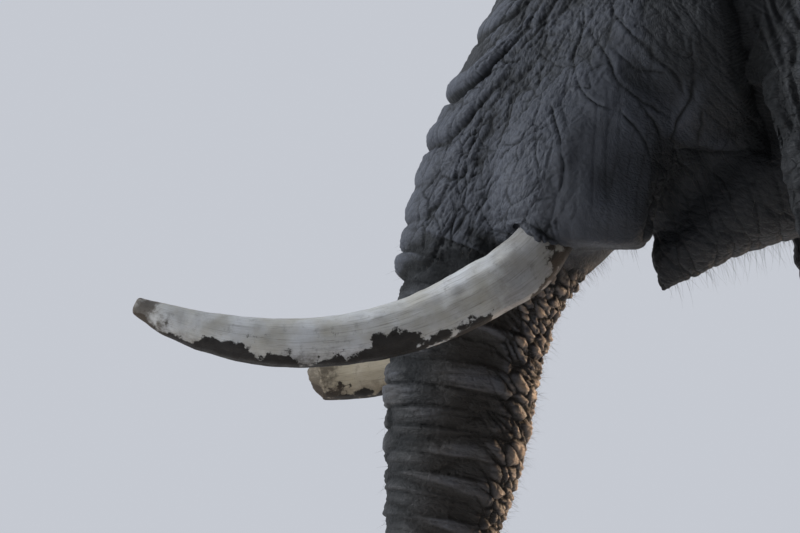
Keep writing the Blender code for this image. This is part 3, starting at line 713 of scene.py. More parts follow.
def body_folds(skin):
    """The net of creases over the body and legs, with long folds at the neck, shoulder, knees and ankles."""
    x, y, z = skin.points.T
    above_sole = smoothstep(0.0, 0.05, z)
    body = np.clip(1 - skin.face - skin.mask["ear"], 0, 1) * above_sole
    patch = 0.45 + 0.55 * smoothstep(-0.5, 0.5, noise(skin.points * 1.6, 71))
    neck = np.clip(skin.mask["neck"] + 0.5 * bump(y, EYE_Y + 1.05, 0.5) * skin.mask["body"], 0, 1)
    leg = np.clip(skin.mask["foreleg"] + skin.mask["hindleg"], 0, 1)
    joint = np.clip(bump(z, 0.80, 0.30) + bump(z, 0.24, 0.14) + 0.5 * bump(z, 1.25, 0.35), 0, 1)
    thigh = skin.mask["body"] * smoothstep(0.6, 1.5, y) * bump(z, 1.75, 0.6)
    down_neck = (x, y - 0.25 * (skin.z - 1.6), skin.z)
    skin.cracked(body * patch, (x, y, z), (0.075, 0.075, 0.13), 0.0042, 41, 0.7, 0.08, 0.4, 0.25)
    skin.cracked(body, (x, y, z), (0.034, 0.034, 0.050), 0.0030, 43, 0.8, 0.12, 0.4, 0.25)
    skin.cracked(neck, down_neck, (0.5, 0.085, 0.55), 0.0130, 47, 0.8, 0.12, 0.35, 0.5)
    skin.cracked(leg * joint * above_sole, (x, y, z), (0.30, 0.30, 0.050), 0.0075, 53, 0.8, 0.12, 0.4, 0.45)
    skin.cracked(thigh, (x, y + z * 0.35, z), (0.4, 0.11, 0.5), 0.0080, 59, 0.8, 0.10, 0.4, 0.35)


def ear_folds(skin):
    """Branching veins, folds fanning out from the ear's root and a fine net."""
    ear = skin.mask["ear"]
    back, up = skin.y - (EYE_Y + 0.42), skin.z - (EYE_Z + 0.15)
    far = np.sqrt(back**2 + up**2)
    fan = ear * smoothstep(0.10, 0.45, far) * 0.8
    front = ear * smoothstep(EYE_Y + 0.66, EYE_Y + 0.42, skin.y)
    upright = (skin.x, skin.y + 0.22 * skin.z, skin.z)
    near = np.clip(ear * smoothstep(0.50, 0.12, far) + front, 0, 1)
    spokes = (np.arctan2(up, back), far, skin.x * 0)
    skin.cracked(fan, spokes, (0.16, 0.42, 1), 0.0036, 61, 0.9, 0.12, 0.5, 0.15)
    skin.cracked(near, upright, (0.3, 0.045, 0.5), 0.0070, 67, 0.9, 0.10, 0.3, 0.5)
    skin.cracked(ear, skin.points.T, (0.05, 0.034, 0.034), 0.0024, 71, 0.8, 0.14, 0.4, 0.2)


# ---------------------------------------------------------------- named folds of the face, and the eyelids

# lines as knots in centimetres (behind, above) the eye's middle
EAR_GAP = [(23.5, 4), (25.5, -12), (28, -24), (32, -34), (35.5, -46)]  # between the cheek and the ear
MOUTH_GAP = [(12, -40), (11.5, -48), (10.5, -55), (9.5, -60), (8.5, -65)]  # between the sheath and the jaw

# folds across the side of the face: the depth and width of each and the bulge beside it, all in millimetres,
# and its line
FACE_FOLDS = [
    # below the eye, meeting at the corner of the mouth
    (7, 4, 4, [(-3.5, -9.5), (-0.5, -14), (5.5, -20), (11.5, -26), (15.5, -32)]),
    (6, 4, 4, [(-8.5, -13), (-3.5, -22), (-1.5, -27.5), (4, -32), (11.5, -35.5)]),
    (5, 4, 3, [(-2, -21), (4, -24.5), (10.5, -26)]),
    (6, 4, 4, [(-8.5, -8), (-8.5, -14), (-11, -22), (-10, -29), (-5, -33.5), (0, -35)]),
    (6, 4, 4, [(-0.5, -34.5), (3, -38), (5.5, -42), (7, -45.5)]),
    (4, 4, 2, [(-10, -28.5), (-7, -29), (-8, -25.5), (-3.5, -23)]),
    (5, 4, 3, [(3, -31.5), (6.5, -36), (9.5, -41.5)]),
    (7, 5, 4, [(15.5, -22), (16, -31), (12.5, -36), (10.5, -42)]),
    (6, 5, 3, [(18, -33), (18, -36.5), (17.5, -40.5)]),
    (5, 4, 3, [(9.5, -16), (10.5, -20.5), (14, -23), (15.5, -22), (15.5, -17)]),
    # above the sheath, climbing to the back
    (7, 4, 5, [(-18.5, -8), (-20, -12.5), (-24, -15.5), (-26.5, -18), (-27, -21), (-24, -21), (-20, -19)]),
    (6, 4, 5, [(-21.5, -8), (-22.5, -13.5), (-25.5, -16), (-29, -19.5), (-33, -24)]),
    (6, 4, 4, [(-15, -8), (-17.5, -13.5), (-21, -17)]),
    (6, 4, 4, [(-13, -16), (-16.5, -20), (-18, -24), (-19, -27), (-21.5, -31), (-22.5, -34)]),
    (5, 4, 4, [(-26, -21.5), (-29, -23), (-33, -26.5), (-36, -29)]),
    (8, 4, 5, [(-24, -22), (-25, -26), (-27, -29), (-30, -31), (-32, -35), (-36, -43.5), (-41, -53)]),
    (6, 4, 4, [(-22, -25.5), (-25, -32), (-27, -37.5), (-28.5, -43)]),
    (7, 4, 4, [(-15, -37), (-19, -38), (-22.5, -40), (-26, -42.5), (-31, -50.5), (-35, -51.5)]),
    (5, 4, 3, [(-17, -30.5), (-16, -34), (-15, -37), (-13.5, -42), (-14, -52), (-15.5, -57)]),
    (4, 4, 3, [(-19, -40), (-19, -48)]),
    (6, 4, 4, [(-26, -47), (-29, -49.5), (-33.5, -57), (-36, -64)]),
    (5, 4, 4, [(-31, -27), (-33.5, -26.5), (-35.5, -25)]),
    # beside the eye and up to the temple
    (6, 4, 4, [(-6, 4), (-13, -1), (-19, -8)]),
    (6, 4, 4, [(-4, 7), (-12, 5), (-20, -1), (-28, -12), (-34, -20)]),
    (5, 4, 3, [(6, -3), (10, -8), (13, -16)]),
    (5, 4, 3, [(5, 5), (12, 3), (17, -4), (20, -14)]),
    # the corner of the mouth, the sheath's rear edge and the hollow before the ear
    (9, 6, 4, [(10.5, -41.5), (17.5, -41.5), (28.5, -40.5), (33, -40)]),
    (16, 8, 4, [(10.5, -41.5), (8.5, -48.5), (7, -55), (5.5, -61), (5, -64.5)]),
    (6, 5, 4, [(21, -44.5), (25, -48), (26, -53)]),
    (50, 34, 0, EAR_GAP),
]
LINE_POINTS = 70  # how many points such a line is measured by
EYE_SLANT = 14.0  # degrees by which the eye's rear corner is higher
EYE_HALF_LENGTH, EYE_HALF_HEIGHT = 0.0225, 0.0118  # of the slit between the lids
EYE_RADIUS = 0.021
LID_THICKNESS = 0.0032


def side_distance(skin, rows, knots):
    """How far points are from a smooth line through knots, and a share that fades out at the line's ends."""
    line, _ = resampled(np.array(knots) * 0.01, LINE_POINTS, 14)
    at = skin.points[rows]
    places = np.stack([skin.y[rows] - EYE_Y, skin.z[rows] - EYE_Z], 1)
    places = places + 0.006 * noises(at * 18, 301, 2) + 0.003 * noises(at * 50, 303, 2)
    near, gap, ahead = nearest_on(line, places)
    across = gap[:, 0] * ahead[:, 1] - gap[:, 1] * ahead[:, 0]
    beyond = np.abs((gap * ahead).sum(axis=1))
    end = smoothstep(-1, 12, near) * smoothstep(LINE_POINTS, LINE_POINTS - 13, near)
    return np.abs(across) + 0.5 * beyond, end * smoothstep(0.012, 0.0, beyond)


def named_folds(skin):
    """The folds listed above: each a sharp crease between two soft swellings, of uneven depth along it."""
    from_eye = np.stack([skin.y - EYE_Y, skin.z - EYE_Z], 1)
    beside = (skin.mask["ear"] < 0.3) & (np.abs(skin.x) > 0.08)
    for depth, width, bulge, knots in FACE_FOLDS:
        depth, width, bulge = depth * 0.001, width * 0.001, bulge * 0.001
        low, high = np.min(knots, axis=0) * 0.01 - 0.06, np.max(knots, axis=0) * 0.01 + 0.06
        rows = np.flatnonzero(beside & ((from_eye > low) & (from_eye < high)).all(axis=1))
        away, end = side_distance(skin, rows, knots)
        uneven = end * (0.8 + 0.45 * noise(skin.points[rows] * 21, 305))
        groove = np.exp(-away / (0.62 * width))
        swell = np.exp(-(((away - 2.6 * width) / (2.4 * width)) ** 2))
        skin.add(rows, uneven * (0.55 * bulge * swell - 0.85 * depth * groove), 1.5 * uneven * groove**1.3)


def eye_frame(points, side):
    """Where points are round an eye: along its slit, above it, and outward, in metres."""
    gap = points - EYES[side]
    return *turned(gap[:, 1], gap[:, 2], math.radians(EYE_SLANT)), gap[:, 0] * SIDES[side]


def in_slit(along, above, half_height=EYE_HALF_HEIGHT):
    """How far out from the middle of the eye's slit places are: 1 on its edge."""
    return np.hypot(along / EYE_HALF_LENGTH, above / half_height)


def waves(phase, width):
    """A wave that is 1 at each whole number and 0 halfway to the next, and a narrow peak at each."""
    wave = np.abs((phase % 1.0) - 0.5) * 2
    return wave, np.exp(-(((1 - wave) / width) ** 2))


def eye_folds(skin):
    """Bags and rings round the eyes, before the lids are shaped."""
    for side in SIDES:
        along, above, outward = eye_frame(skin.points, side)
        away = np.sqrt((along / 1.25) ** 2 + above**2)
        rows = np.flatnonzero((away < 0.16) & (outward > -0.10) & (skin.face > 0.5))
        a, b, r = along[rows], above[rows], away[rows]
        fade = smoothstep(0.150, 0.05, r) * smoothstep(0.014, 0.026, r)
        ring, groove = waves(r / 0.0155 + 0.25 * noise(skin.points[rows] * 26, 331), 0.22)
        height = fade * (0.0022 * ring - 0.0030 * groove)
        _, spokes = waves(np.arctan2(b, a) / 0.20 + 0.4 * noise(skin.points[rows] * 18, 337), 0.20)
        lines = spokes * smoothstep(0.03, 0.06, r) * smoothstep(0.150, 0.09, r)
        skin.height[rows] *= 1 - 0.65 * smoothstep(0.085, 0.03, r)
        skin.add(rows, height - 0.0018 * lines, np.maximum(0.8 * fade * groove, 0.5 * lines))


def lids(points, crease):
    """Opens the skin over each eyeball in an almond slit, with thick lids that follow the ball."""
    for side, sign in SIDES.items():
        along, above, outward = eye_frame(points, side)
        rows = np.flatnonzero((np.hypot(along, above) < 0.055) & (outward > -0.06))
        u, v, depth = along[rows], above[rows], outward[rows]
        half = np.where(v > 0, EYE_HALF_HEIGHT, EYE_HALF_HEIGHT * 0.85)
        slit = in_slit(u, v, half)
        flat = np.minimum(u**2 + v**2, (EYE_RADIUS * 0.99) ** 2)
        ball = np.sqrt(EYE_RADIUS**2 - flat)
        over_ball = np.sqrt((EYE_RADIUS + LID_THICKNESS) ** 2 - flat)
        near = smoothstep(2.5, 1.25, slit)
        lid = depth * (1 - near) + over_ball * near
        lid = np.maximum(lid, ball + LID_THICKNESS * 0.8 * smoothstep(1.9, 1.3, slit) - 9 * (slit > 1.9))
        open_share = smoothstep(1.08, 0.94, slit)
        lid = lid * (1 - open_share) + (ball - 0.006) * open_share
        points[rows, 0] += sign * (lid - depth)
        rim = bump(slit, 1.02, 0.20)
        crease[rows] = np.maximum(crease[rows] * smoothstep(0.9, 1.3, slit), 0.9 * rim)
    return points


# ---------------------------------------------------------------- mesh objects


def mesh_piece(name, points, faces, values, paint):
    """A smooth-shaded mesh object, with a number or vector for each point for every entry in values."""
    mesh = bpy.data.meshes.new(name)
    mesh.vertices.add(len(points))
    mesh.vertices.foreach_set("co", points.astype(np.float32).ravel())
    mesh.loops.add(faces.size)
    mesh.loops.foreach_set("vertex_index", faces.astype(np.int32).ravel())
    mesh.polygons.add(len(faces))
    mesh.polygons.foreach_set("loop_start", np.arange(0, faces.size, faces.shape[1], dtype=np.int32))
    mesh.update(calc_edges=True)
    for label, numbers in values.items():
        kind, field = ("FLOAT", "value") if numbers.ndim == 1 else ("FLOAT_VECTOR", "vector")
        layer = mesh.attributes.new(label, kind, "POINT")
        layer.data.foreach_set(field, numbers.astype(np.float32).ravel())
    mesh.shade_smooth()
    mesh.materials.append(paint)
    piece = bpy.data.objects.new(name, mesh)
    bpy.context.scene.collection.objects.link(piece)
    return piece


# ---------------------------------------------------------------- materials


class Paint:
    """The procedural shading of a material or a world, put together node by node.

    Its methods give back the output of the node they make, to be fed into others.
    """

    def __init__(self, owner, shader="Principled BSDF"):
        owner.use_nodes = True
        self.owner = owner
        self.tree = owner.node_tree
        self.shader = self.tree.nodes[shader]

    def node(self, kind, inputs, output=0, **settings):
        """Makes a node and gives back one of its outputs."""
        made = self.tree.nodes.new(f"ShaderNode{kind}")
        for name, value in settings.items():
            setattr(made, name, value)
        for name, value in inputs.items():
            self.feed(made.inputs[name], value)
        return made.outputs[output]

    def feed(self, socket, value):
        if isinstance(value, bpy.types.NodeSocket):
            self.tree.links.new(value, socket)
        else:
            socket.default_value = (*value, 1) if socket.type == "RGBA" else value

    def set(self, **values):
        for name, value in values.items():
            self.feed(self.shader.inputs[name.replace("_", " ")], value)

    def numbers(self, *names):
        return [self.node("Attribute", {}, "Fac", attribute_name=name) for name in names]

    def here(self):
        return self.node("TexCoord", {}, "Object")

    def stretched(self, where, scale, start=(0, 0, 0)):
        return self.node("Mapping", {"Vector": where, "Location": start, "Scale": scale})

    def noise(self, scale, detail=4, rough=0.6, where=None, output="Fac"):
        inputs = {"Scale": scale, "Detail": detail, "Roughness": rough}
        return self.node("TexNoise", {"Vector": where or self.here(), **inputs}, output)

    def between(self, value, low, high, start=0.0, end=1.0):
        """Runs from start to end as value goes from low to high."""
        inputs = {"Value": value, "From Min": low, "From Max": high, "To Min": start, "To Max": end}
        return self.node("MapRange", inputs, interpolation_type="SMOOTHSTEP")

    def mix(self, share, one, two, how="MIX"):
        return self.node("Mix", {0: share, 6: one, 7: two}, 2, data_type="RGBA", blend_type=how)

    def washes(self, base, *rows):
        """Colours laid over base: each row is what between takes to make its share, and the colour."""
        for *share, colour in rows:
            base = self.mix(self.between(*share), base, colour)
        return base

    def times(self, one, two):
        return self.node("Math", {0: one, 1: two}, operation="MULTIPLY")

    def plus(self, one, two):
        return self.node("Math", {0: one, 1: two}, operation="ADD")

    def bumps(self, *rows):
        """Bumps laid over one another: each row is a height, its span in metres and how much it shows."""
        under = {}
        for height, distance, strength in rows:
            made = self.node("Bump", {"Height": height, "Distance": distance, "Strength": strength, **under})
            under = {"Normal": made}
        return made


HIDE_DARK = (0.008, 0.009, 0.010)
HIDE = (0.045, 0.050, 0.064)
HIDE_PALE = (0.083, 0.091, 0.113)
HIDE_EARTH = (0.060, 0.053, 0.044)
HIDE_DUST_AND_PAINTED_LIGHT = (0.38, 0.295, 0.22)
HIDE_PINK = (0.26, 0.17, 0.15)


def hide_paint():
    """Slate-grey skin with painted light and shade: paler on its ridges and lit parts, dark in its creases,
    which also hold dirt, and in its shaded parts; earthy low down, finely lined all over.
    """
    p = Paint(bpy.data.materials.new("hide"))
    crease, tone_light_and_shade, earth, moist, dust, plain = p.numbers("crease", "tone_light_and_shade", "earth", "moist", "dust", "plain")
    flow = p.node("Attribute", {}, "Vector", attribute_name="flow")

    def lines(scale, seed, bent=0.06, bends=60.0):
        wander = p.noise(bends, 3, 0.5, flow, "Color")
        where = p.mix(bent, p.stretched(flow, scale, (seed, 0, seed)), wander, "LINEAR_LIGHT")
        return p.node("TexVoronoi", {"Vector": where, "Scale": 1.0}, feature="DISTANCE_TO_EDGE")

    speckle = p.noise(90.0, 5, 0.75)
    fine = lines((55.0, 120.0, 55.0), 3.0)
    finest = lines((130.0, 230.0, 130.0), 7.0)
    coarse = p.between(lines((9.0, 15.0, 9.0), 11.0, 0.55, 6.0), 0.0, 0.10)
    medium = p.between(lines((22.0, 34.0, 22.0), 13.0, 0.45, 12.0), 0.0, 0.12)
    folds = p.plus(p.times(coarse, 0.55), p.times(medium, 0.45))
    base = p.mix(p.between(p.noise(3.2, 5), 0.30, 0.72), HIDE, HIDE_PALE)
    base = p.mix(p.times(earth, p.between(p.noise(6.0, 5), 0.30, 0.65, 0.35, 1.0)), base, HIDE_EARTH)
    # the first two washes: paler where lit and darker where shaded, as painted light and shade, besides
    # random tone
    base = p.washes(
        base,
        (tone_light_and_shade, 0.50, 1.0, 0.0, 0.60, HIDE_PALE),
        (tone_light_and_shade, 0.50, 0.0, 0.0, 0.85, HIDE_DARK),
        (speckle, 0.35, 0.70, 0.22, 0.0, HIDE_DARK),
        (fine, 0.0, 0.08, 0.22, 0.0, HIDE_DARK),
    )
    # darker along the fold lines off the face: painted shade, with dirt in them
    base = p.mix(p.times(plain, p.between(folds, 0.0, 1.0, 0.42, 0.0)), base, HIDE_DARK)
    # darker in the creases: painted shade, with dirt in them
    base = p.washes(base, (crease, 0.10, 0.90, 0.0, 0.78, HIDE_DARK))
    # the dust colour is real dust, and also painted light on the backs of the ears and the rear of the trunk
    base = p.mix(moist, p.mix(dust, base, HIDE_DUST_AND_PAINTED_LIGHT), HIDE_PINK)
    rough = p.plus(p.between(speckle, 0.30, 0.75, 0.55, 0.78), p.between(crease, 0.10, 0.90, 0.0, 0.22))
    cracks = p.bumps(
        (p.times(folds, plain), 0.0045, 0.7),
        (p.between(fine, 0.0, 0.25), 0.0010, 0.6),
        (p.between(finest, 0.0, 0.3), 0.0005, 0.6),
        (p.noise(150.0, 5, 0.7), 0.0012, 0.5),
    )
    p.set(Base_Color=base, Roughness=rough, Normal=cracks, Specular_IOR_Level=0.35)
    return p.owner


IVORY = (0.42, 0.405, 0.36)
IVORY_WHITE = (0.58, 0.595, 0.62)
IVORY_YELLOW = (0.46, 0.38, 0.25)
IVORY_STAIN_AND_SHADE = (0.062, 0.047, 0.034)
MUD_AND_SHADE = (0.012, 0.010, 0.009)


def tusk_paint(name, yellow):
    """Old ivory: fine lengthwise cracks, a worn and stained tip, and painted shade and dark mud along its
    underside.
    """
    p = Paint(bpy.data.materials.new(name))
    under, tip, lengthwise, root, around = p.numbers("under", "tip", "lengthwise", "root", "around")
    fibre = p.node("CombineXYZ", {0: lengthwise, 1: around})
    streaks = p.noise(1.0, 5, 0.65, p.stretched(fibre, (5.0, 90.0, 1.0)))
    hairlines = p.noise(1.0, 6, 0.65, p.stretched(fibre, (9.0, 260.0, 1.0)))
    clouds, dirt, patches = p.noise(11.0, 5), p.noise(30.0, 6, 0.7), p.noise(8.5, 3, 0.55)
    ragged = p.plus(p.between(dirt, 0.25, 0.75, -0.24, 0.24), p.between(patches, 0.32, 0.68, -0.42, 0.50))
    shaded = p.plus(under, p.between(dirt, 0.25, 0.75, -0.3, 0.3))
    specks = p.times(p.between(dirt, 0.62, 0.68), p.between(under, -0.7, 0.1))
    worn = p.plus(tip, p.between(dirt, 0.3, 0.7, -0.25, 0.25))
    grimy = p.plus(root, p.between(dirt, 0.3, 0.7, -0.16, 0.16))
    smudges = p.times(p.between(p.noise(48.0, 6, 0.75), 0.52, 0.72), p.between(clouds, 0.35, 0.60))
    base = p.mix(yellow, p.mix(p.between(clouds, 0.25, 0.75), IVORY, IVORY_WHITE), IVORY_YELLOW)
    base = p.washes(
        base,
        (streaks, 0.50, 0.72, 0.0, 0.45, IVORY_STAIN_AND_SHADE),
        (hairlines, 0.60, 0.68, 0.0, 0.65, IVORY_STAIN_AND_SHADE),
        # painted shade on the tusk's underside
        (shaded, 0.25, 1.10, 0.0, 0.85, IVORY_STAIN_AND_SHADE),
        # dark mud along the underside, which also serves as its painted shadow
        (p.plus(under, ragged), 0.46, 0.58, 0.0, 0.97, MUD_AND_SHADE),
    )
    base = p.mix(p.times(specks, 0.75), base, MUD_AND_SHADE)
    base = p.washes(
        base,
        (worn, 0.45, 1.0, 0.0, 0.85, IVORY_STAIN_AND_SHADE),
        (grimy, 0.25, 1.05, 0.0, 0.45, IVORY_STAIN_AND_SHADE),
    )
    base = p.mix(p.times(smudges, 0.45), base, IVORY_STAIN_AND_SHADE)
    shape = p.bumps((hairlines, 0.0012, 0.6), (streaks, 0.0020, 0.5), (dirt, 0.0015, 0.5))
    rough = p.between(dirt, 0.3, 0.7, 0.50, 0.70)
    p.set(Base_Color=base, Roughness=rough, Normal=shape, Specular_IOR_Level=0.2)
    return p.owner


def nail_paint():
    """Pale brown horn with growth rings and dusty patches, darker towards the ground."""
    p = Paint(bpy.data.materials.new("nail"))
    [rise] = p.numbers("rise")
    dust = p.noise(26.0, 5)
    wave = {"Vector": p.here(), "Scale": 42.0, "Distortion": 3.0, "Detail": 3.0}
    rings = p.node("TexWave", wave, "Fac", bands_direction="Z")
    base = p.mix(p.between(dust, 0.35, 0.65), (0.20, 0.165, 0.125), (0.36, 0.32, 0.26))
    base = p.washes(
        base,
        (rings, 0.2, 0.8, 0.25, 0.0, (0.10, 0.08, 0.06)),
        (rise, 0.45, 0.0, 0.0, 0.7, (0.11, 0.09, 0.07)),
    )
    rough = p.between(dust, 0.3, 0.7, 0.45, 0.7)
    p.set(Base_Color=base, Roughness=rough, Normal=p.bumps((dust, 0.001, 0.5), (rings, 0.0012, 0.6)))
    return p.owner


def eye_paint():
    """A wet eye: black pupil, amber-brown iris with spokes, and a dark rim that fades to the white."""
    p = Paint(bpy.data.materials.new("eye"))
    away, spoke = p.numbers("away", "spoke")
    threads = p.noise(4.0, 5, 0.5, p.stretched(p.node("CombineXYZ", {0: spoke, 1: away}), (9.0, 1.2, 1.0)))
    iris = p.mix(p.between(threads, 0.35, 0.68), (0.055, 0.022, 0.006), (0.30, 0.145, 0.040))
    iris = p.washes(iris, (away, 0.40, 0.56, 0.0, 0.9, (0.012, 0.007, 0.004)))
    white = p.mix(p.between(p.noise(240.0), 0.4, 0.7), (0.20, 0.15, 0.12), (0.09, 0.055, 0.045))
    base = p.washes(iris, (away, 0.56, 0.62, white), (away, 0.205, 0.18, (0.002, 0.002, 0.002)))
    p.set(Base_Color=base, Roughness=0.16, Specular_IOR_Level=0.5, Coat_Weight=1.0, Coat_Roughness=0.03)
    return p.owner


def hair_paint(name, dark, pale, rough=0.5):
    """Coarse hair, a little paler on some strands and towards the tips."""
    p = Paint(bpy.data.materials.new(name))
    strand, along = p.numbers("strand", "along")
    base = p.mix(p.between(strand, 0.0, 1.0), dark, pale)
    base = p.washes(base, (along, 0.2, 1.0, 0.0, 0.35, pale), (p.noise(240.0, 3), 0.4, 0.7, 0.0, 0.4, dark))
    p.set(Base_Color=base, Roughness=rough)
    return p.owner


def floor_paint():
    p = Paint(bpy.data.materials.new("floor"))
    base = p.mix(p.noise(0.6), (0.70, 0.70, 0.70), (0.76, 0.76, 0.755))
    p.set(Base_Color=base, Roughness=p.between(p.noise(9.0), 0.3, 0.7, 0.75, 0.9))
    return p.owner


# ---------------------------------------------------------------- tusks, nails and eyes

BROKEN_TIP = {"tusk_left": 0.0, "tusk_right": 0.012}  # how far the worn end of a broken tusk slants back
ROOT_SAG = (0.0, 0.024, 0.006)  # how much further back and up the underside of a tusk meets the lip
TUSK_RINGS = 70  # levels at which the middle of a tusk is measured


def smooth_solid(nodes, voxel, rounds):
    """The given CAD nodes as one smooth mesh of even triangles."""
    points, quads = closed(*joined([node_mesh(name) for name in nodes]), voxel, voxel)
    links = Links(len(points), quads)
    start = points
    for _ in range(rounds):
        points = points + 0.9 * (links.mean(points) - points)
    points = smooth_back(points, start, quads, links, 0.0)
    return points, split_quads(points, quads)


def tusk_piece(name):
    """A tusk with shallow dents and flutes, its root drawn in inside the lip and its tip broken or whole."""
    points, triangles = smooth_solid([name], 0.0045, 26)
    y = points[:, 1]
    tip, root = y.min(), y.max()
    if BROKEN_TIP[name]:
        middle = points[y < tip + 0.05].mean(axis=0)
        away = np.minimum(np.hypot(points[:, 0] - middle[0], points[:, 2] - middle[2]), 0.045)
        low = smoothstep(0.03, -0.03, points[:, 2] - middle[2])
        jag = 0.007 * noise(points * 38, 401) + 0.003 * noise(points * 100, 402)
        end = tip + BROKEN_TIP[name] * low + 14.0 * away**2 * smoothstep(0.01, 0.04, away) + np.abs(jag)
        points[:, 1] += np.maximum(end - y, 0) - 0.014 * smoothstep(tip + 0.15, tip, y)
    levels = np.linspace(tip, root, TUSK_RINGS)
    rows = np.clip(np.digitize(points[:, 1], levels), 1, TUSK_RINGS - 1)
    weights = (None, points[:, 0], points[:, 2])
    number, *sums = (np.bincount(rows, weight, TUSK_RINGS)[1:] for weight in weights)
    middle = evened(np.stack(sums, 1) / np.maximum(number, 1)[:, None], 6)
    across, up = (points[:, k] - np.interp(points[:, 1], levels[1:], middle[:, k // 2]) for k in (0, 2))
    girth = np.maximum(np.hypot(across, up), 0.006)
    around = np.arctan2(across, up)
    length = points[:, 1] - tip
    out = normals(points, triangles)
    dents = 0.0022 * noise(points * (16, 7, 16), 411) + 0.0012 * noise(points * 40, 412)
    fluting = 0.0009 * np.sin(around * 7 + 3 * noise(points * 5, 413)) * smoothstep(0.05, 0.3, length)
    core = np.stack([points[:, 0] - across, points[:, 1], points[:, 2] - up + 0.02], 1)
    points = points + out * (dents + fluting)[:, None]
    lower = smoothstep(0.1, -0.8, up / girth) * smoothstep(root - 0.20, root - 0.12, points[:, 1])
    points = points + lower[:, None] * np.array(ROOT_SAG)
    core[:, 1] = points[:, 1]
    hidden = smoothstep(root - 0.10, root - 0.01, points[:, 1])[:, None]
    points = points + 0.35 * hidden * (core - points)
    less_mud_and_shade = smoothstep(0.58, 0.70, length) * smoothstep(0.95, 0.88, length)
    # under drives the painted shade and mud on the underside, lessened over part of the length
    values = {
        "under": np.clip(-up / girth, -1, 1) - 0.6 * less_mud_and_shade,
        "tip": smoothstep(0.16, 0.0, length),
        "root": smoothstep(root - 0.30, root - 0.14, points[:, 1]),
        "lengthwise": length * 2.0,
        "around": np.abs(around) / math.pi * 0.5,
    }
    paint = tusk_paint(f"ivory_{name}", 0.75 if BROKEN_TIP[name] else 0.05)
    piece = mesh_piece(f"ivory_{name}", points, triangles, values, paint)
    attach(piece, "root")
    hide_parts(name)


def nail_pieces():
    """The nails of each foot as one piece, with growth ridges."""
    paint = nail_paint()
    for foot in ("forefoot_left", "forefoot_right", "hindfoot_left", "hindfoot_right"):
        names = sorted(n for n in NODES if n.startswith(f"{foot}_nail"))
        points, triangles = smooth_solid(names, 0.0034, 5)
        height = points[:, 2]
        rise = (height - height.min()) / np.ptp(height)
        ridges = 0.0005 * np.sin(height * 520 + 3 * noise(points * 20, 431))
        ridges = ridges + 0.0012 * noise(points * 60, 433)
        points = points + normals(points, triangles) * ridges[:, None]
        piece = mesh_piece(f"nails_{foot}", points, triangles, {"rise": rise}, paint)
        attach(piece, "root")
        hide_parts(*names)


EYE_RINGS, EYE_SPOKES = 40, 56
GLANCE = math.radians(8)  # how far forward the eyes look
CLEAR_BULGE, CLEAR_REACH = 0.0011, 0.42  # how far an eye's clear front stands out, and the angle it spans


def eye_pieces():
    """The eyeballs, whose clear front bulges a little over the iris."""
    paint = eye_paint()
    for side, sign in SIDES.items():
        rows, faces = [], []
        for i, k in product(range(EYE_RINGS + 1), range(EYE_SPOKES)):
            lean = math.pi * (i / EYE_RINGS) ** 1.15
            reach = EYE_RADIUS - 0.0002 + CLEAR_BULGE * math.exp(-((lean / CLEAR_REACH) ** 2))
            turn = 2 * math.pi * k / EYE_SPOKES
            round_axis = (reach * math.sin(lean) * math.cos(turn), reach * math.sin(lean) * math.sin(turn))
            rows.append((sign * reach * math.cos(lean), *round_axis, lean, k / EYE_SPOKES))
        for i, k in product(range(EYE_RINGS), range(EYE_SPOKES)):
            a, b = i * EYE_SPOKES + k, i * EYE_SPOKES + (k + 1) % EYE_SPOKES
            faces.append((a, b, b + EYE_SPOKES, a + EYE_SPOKES)[::sign])
        x, y, z, lean, spoke = np.array(rows).T
        outward, back = turned(x, y, sign * GLANCE)
        values = {"away": lean, "spoke": np.abs(spoke - 0.5) * 2}
        ball = np.stack([outward, back, z], 1) + EYES[side]
        piece = mesh_piece(f"eyeball_{side}", ball, np.array(faces), values, paint)
        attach(piece, "root")
        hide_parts(f"eye_{side}")


# ---------------------------------------------------------------- the skin as a whole


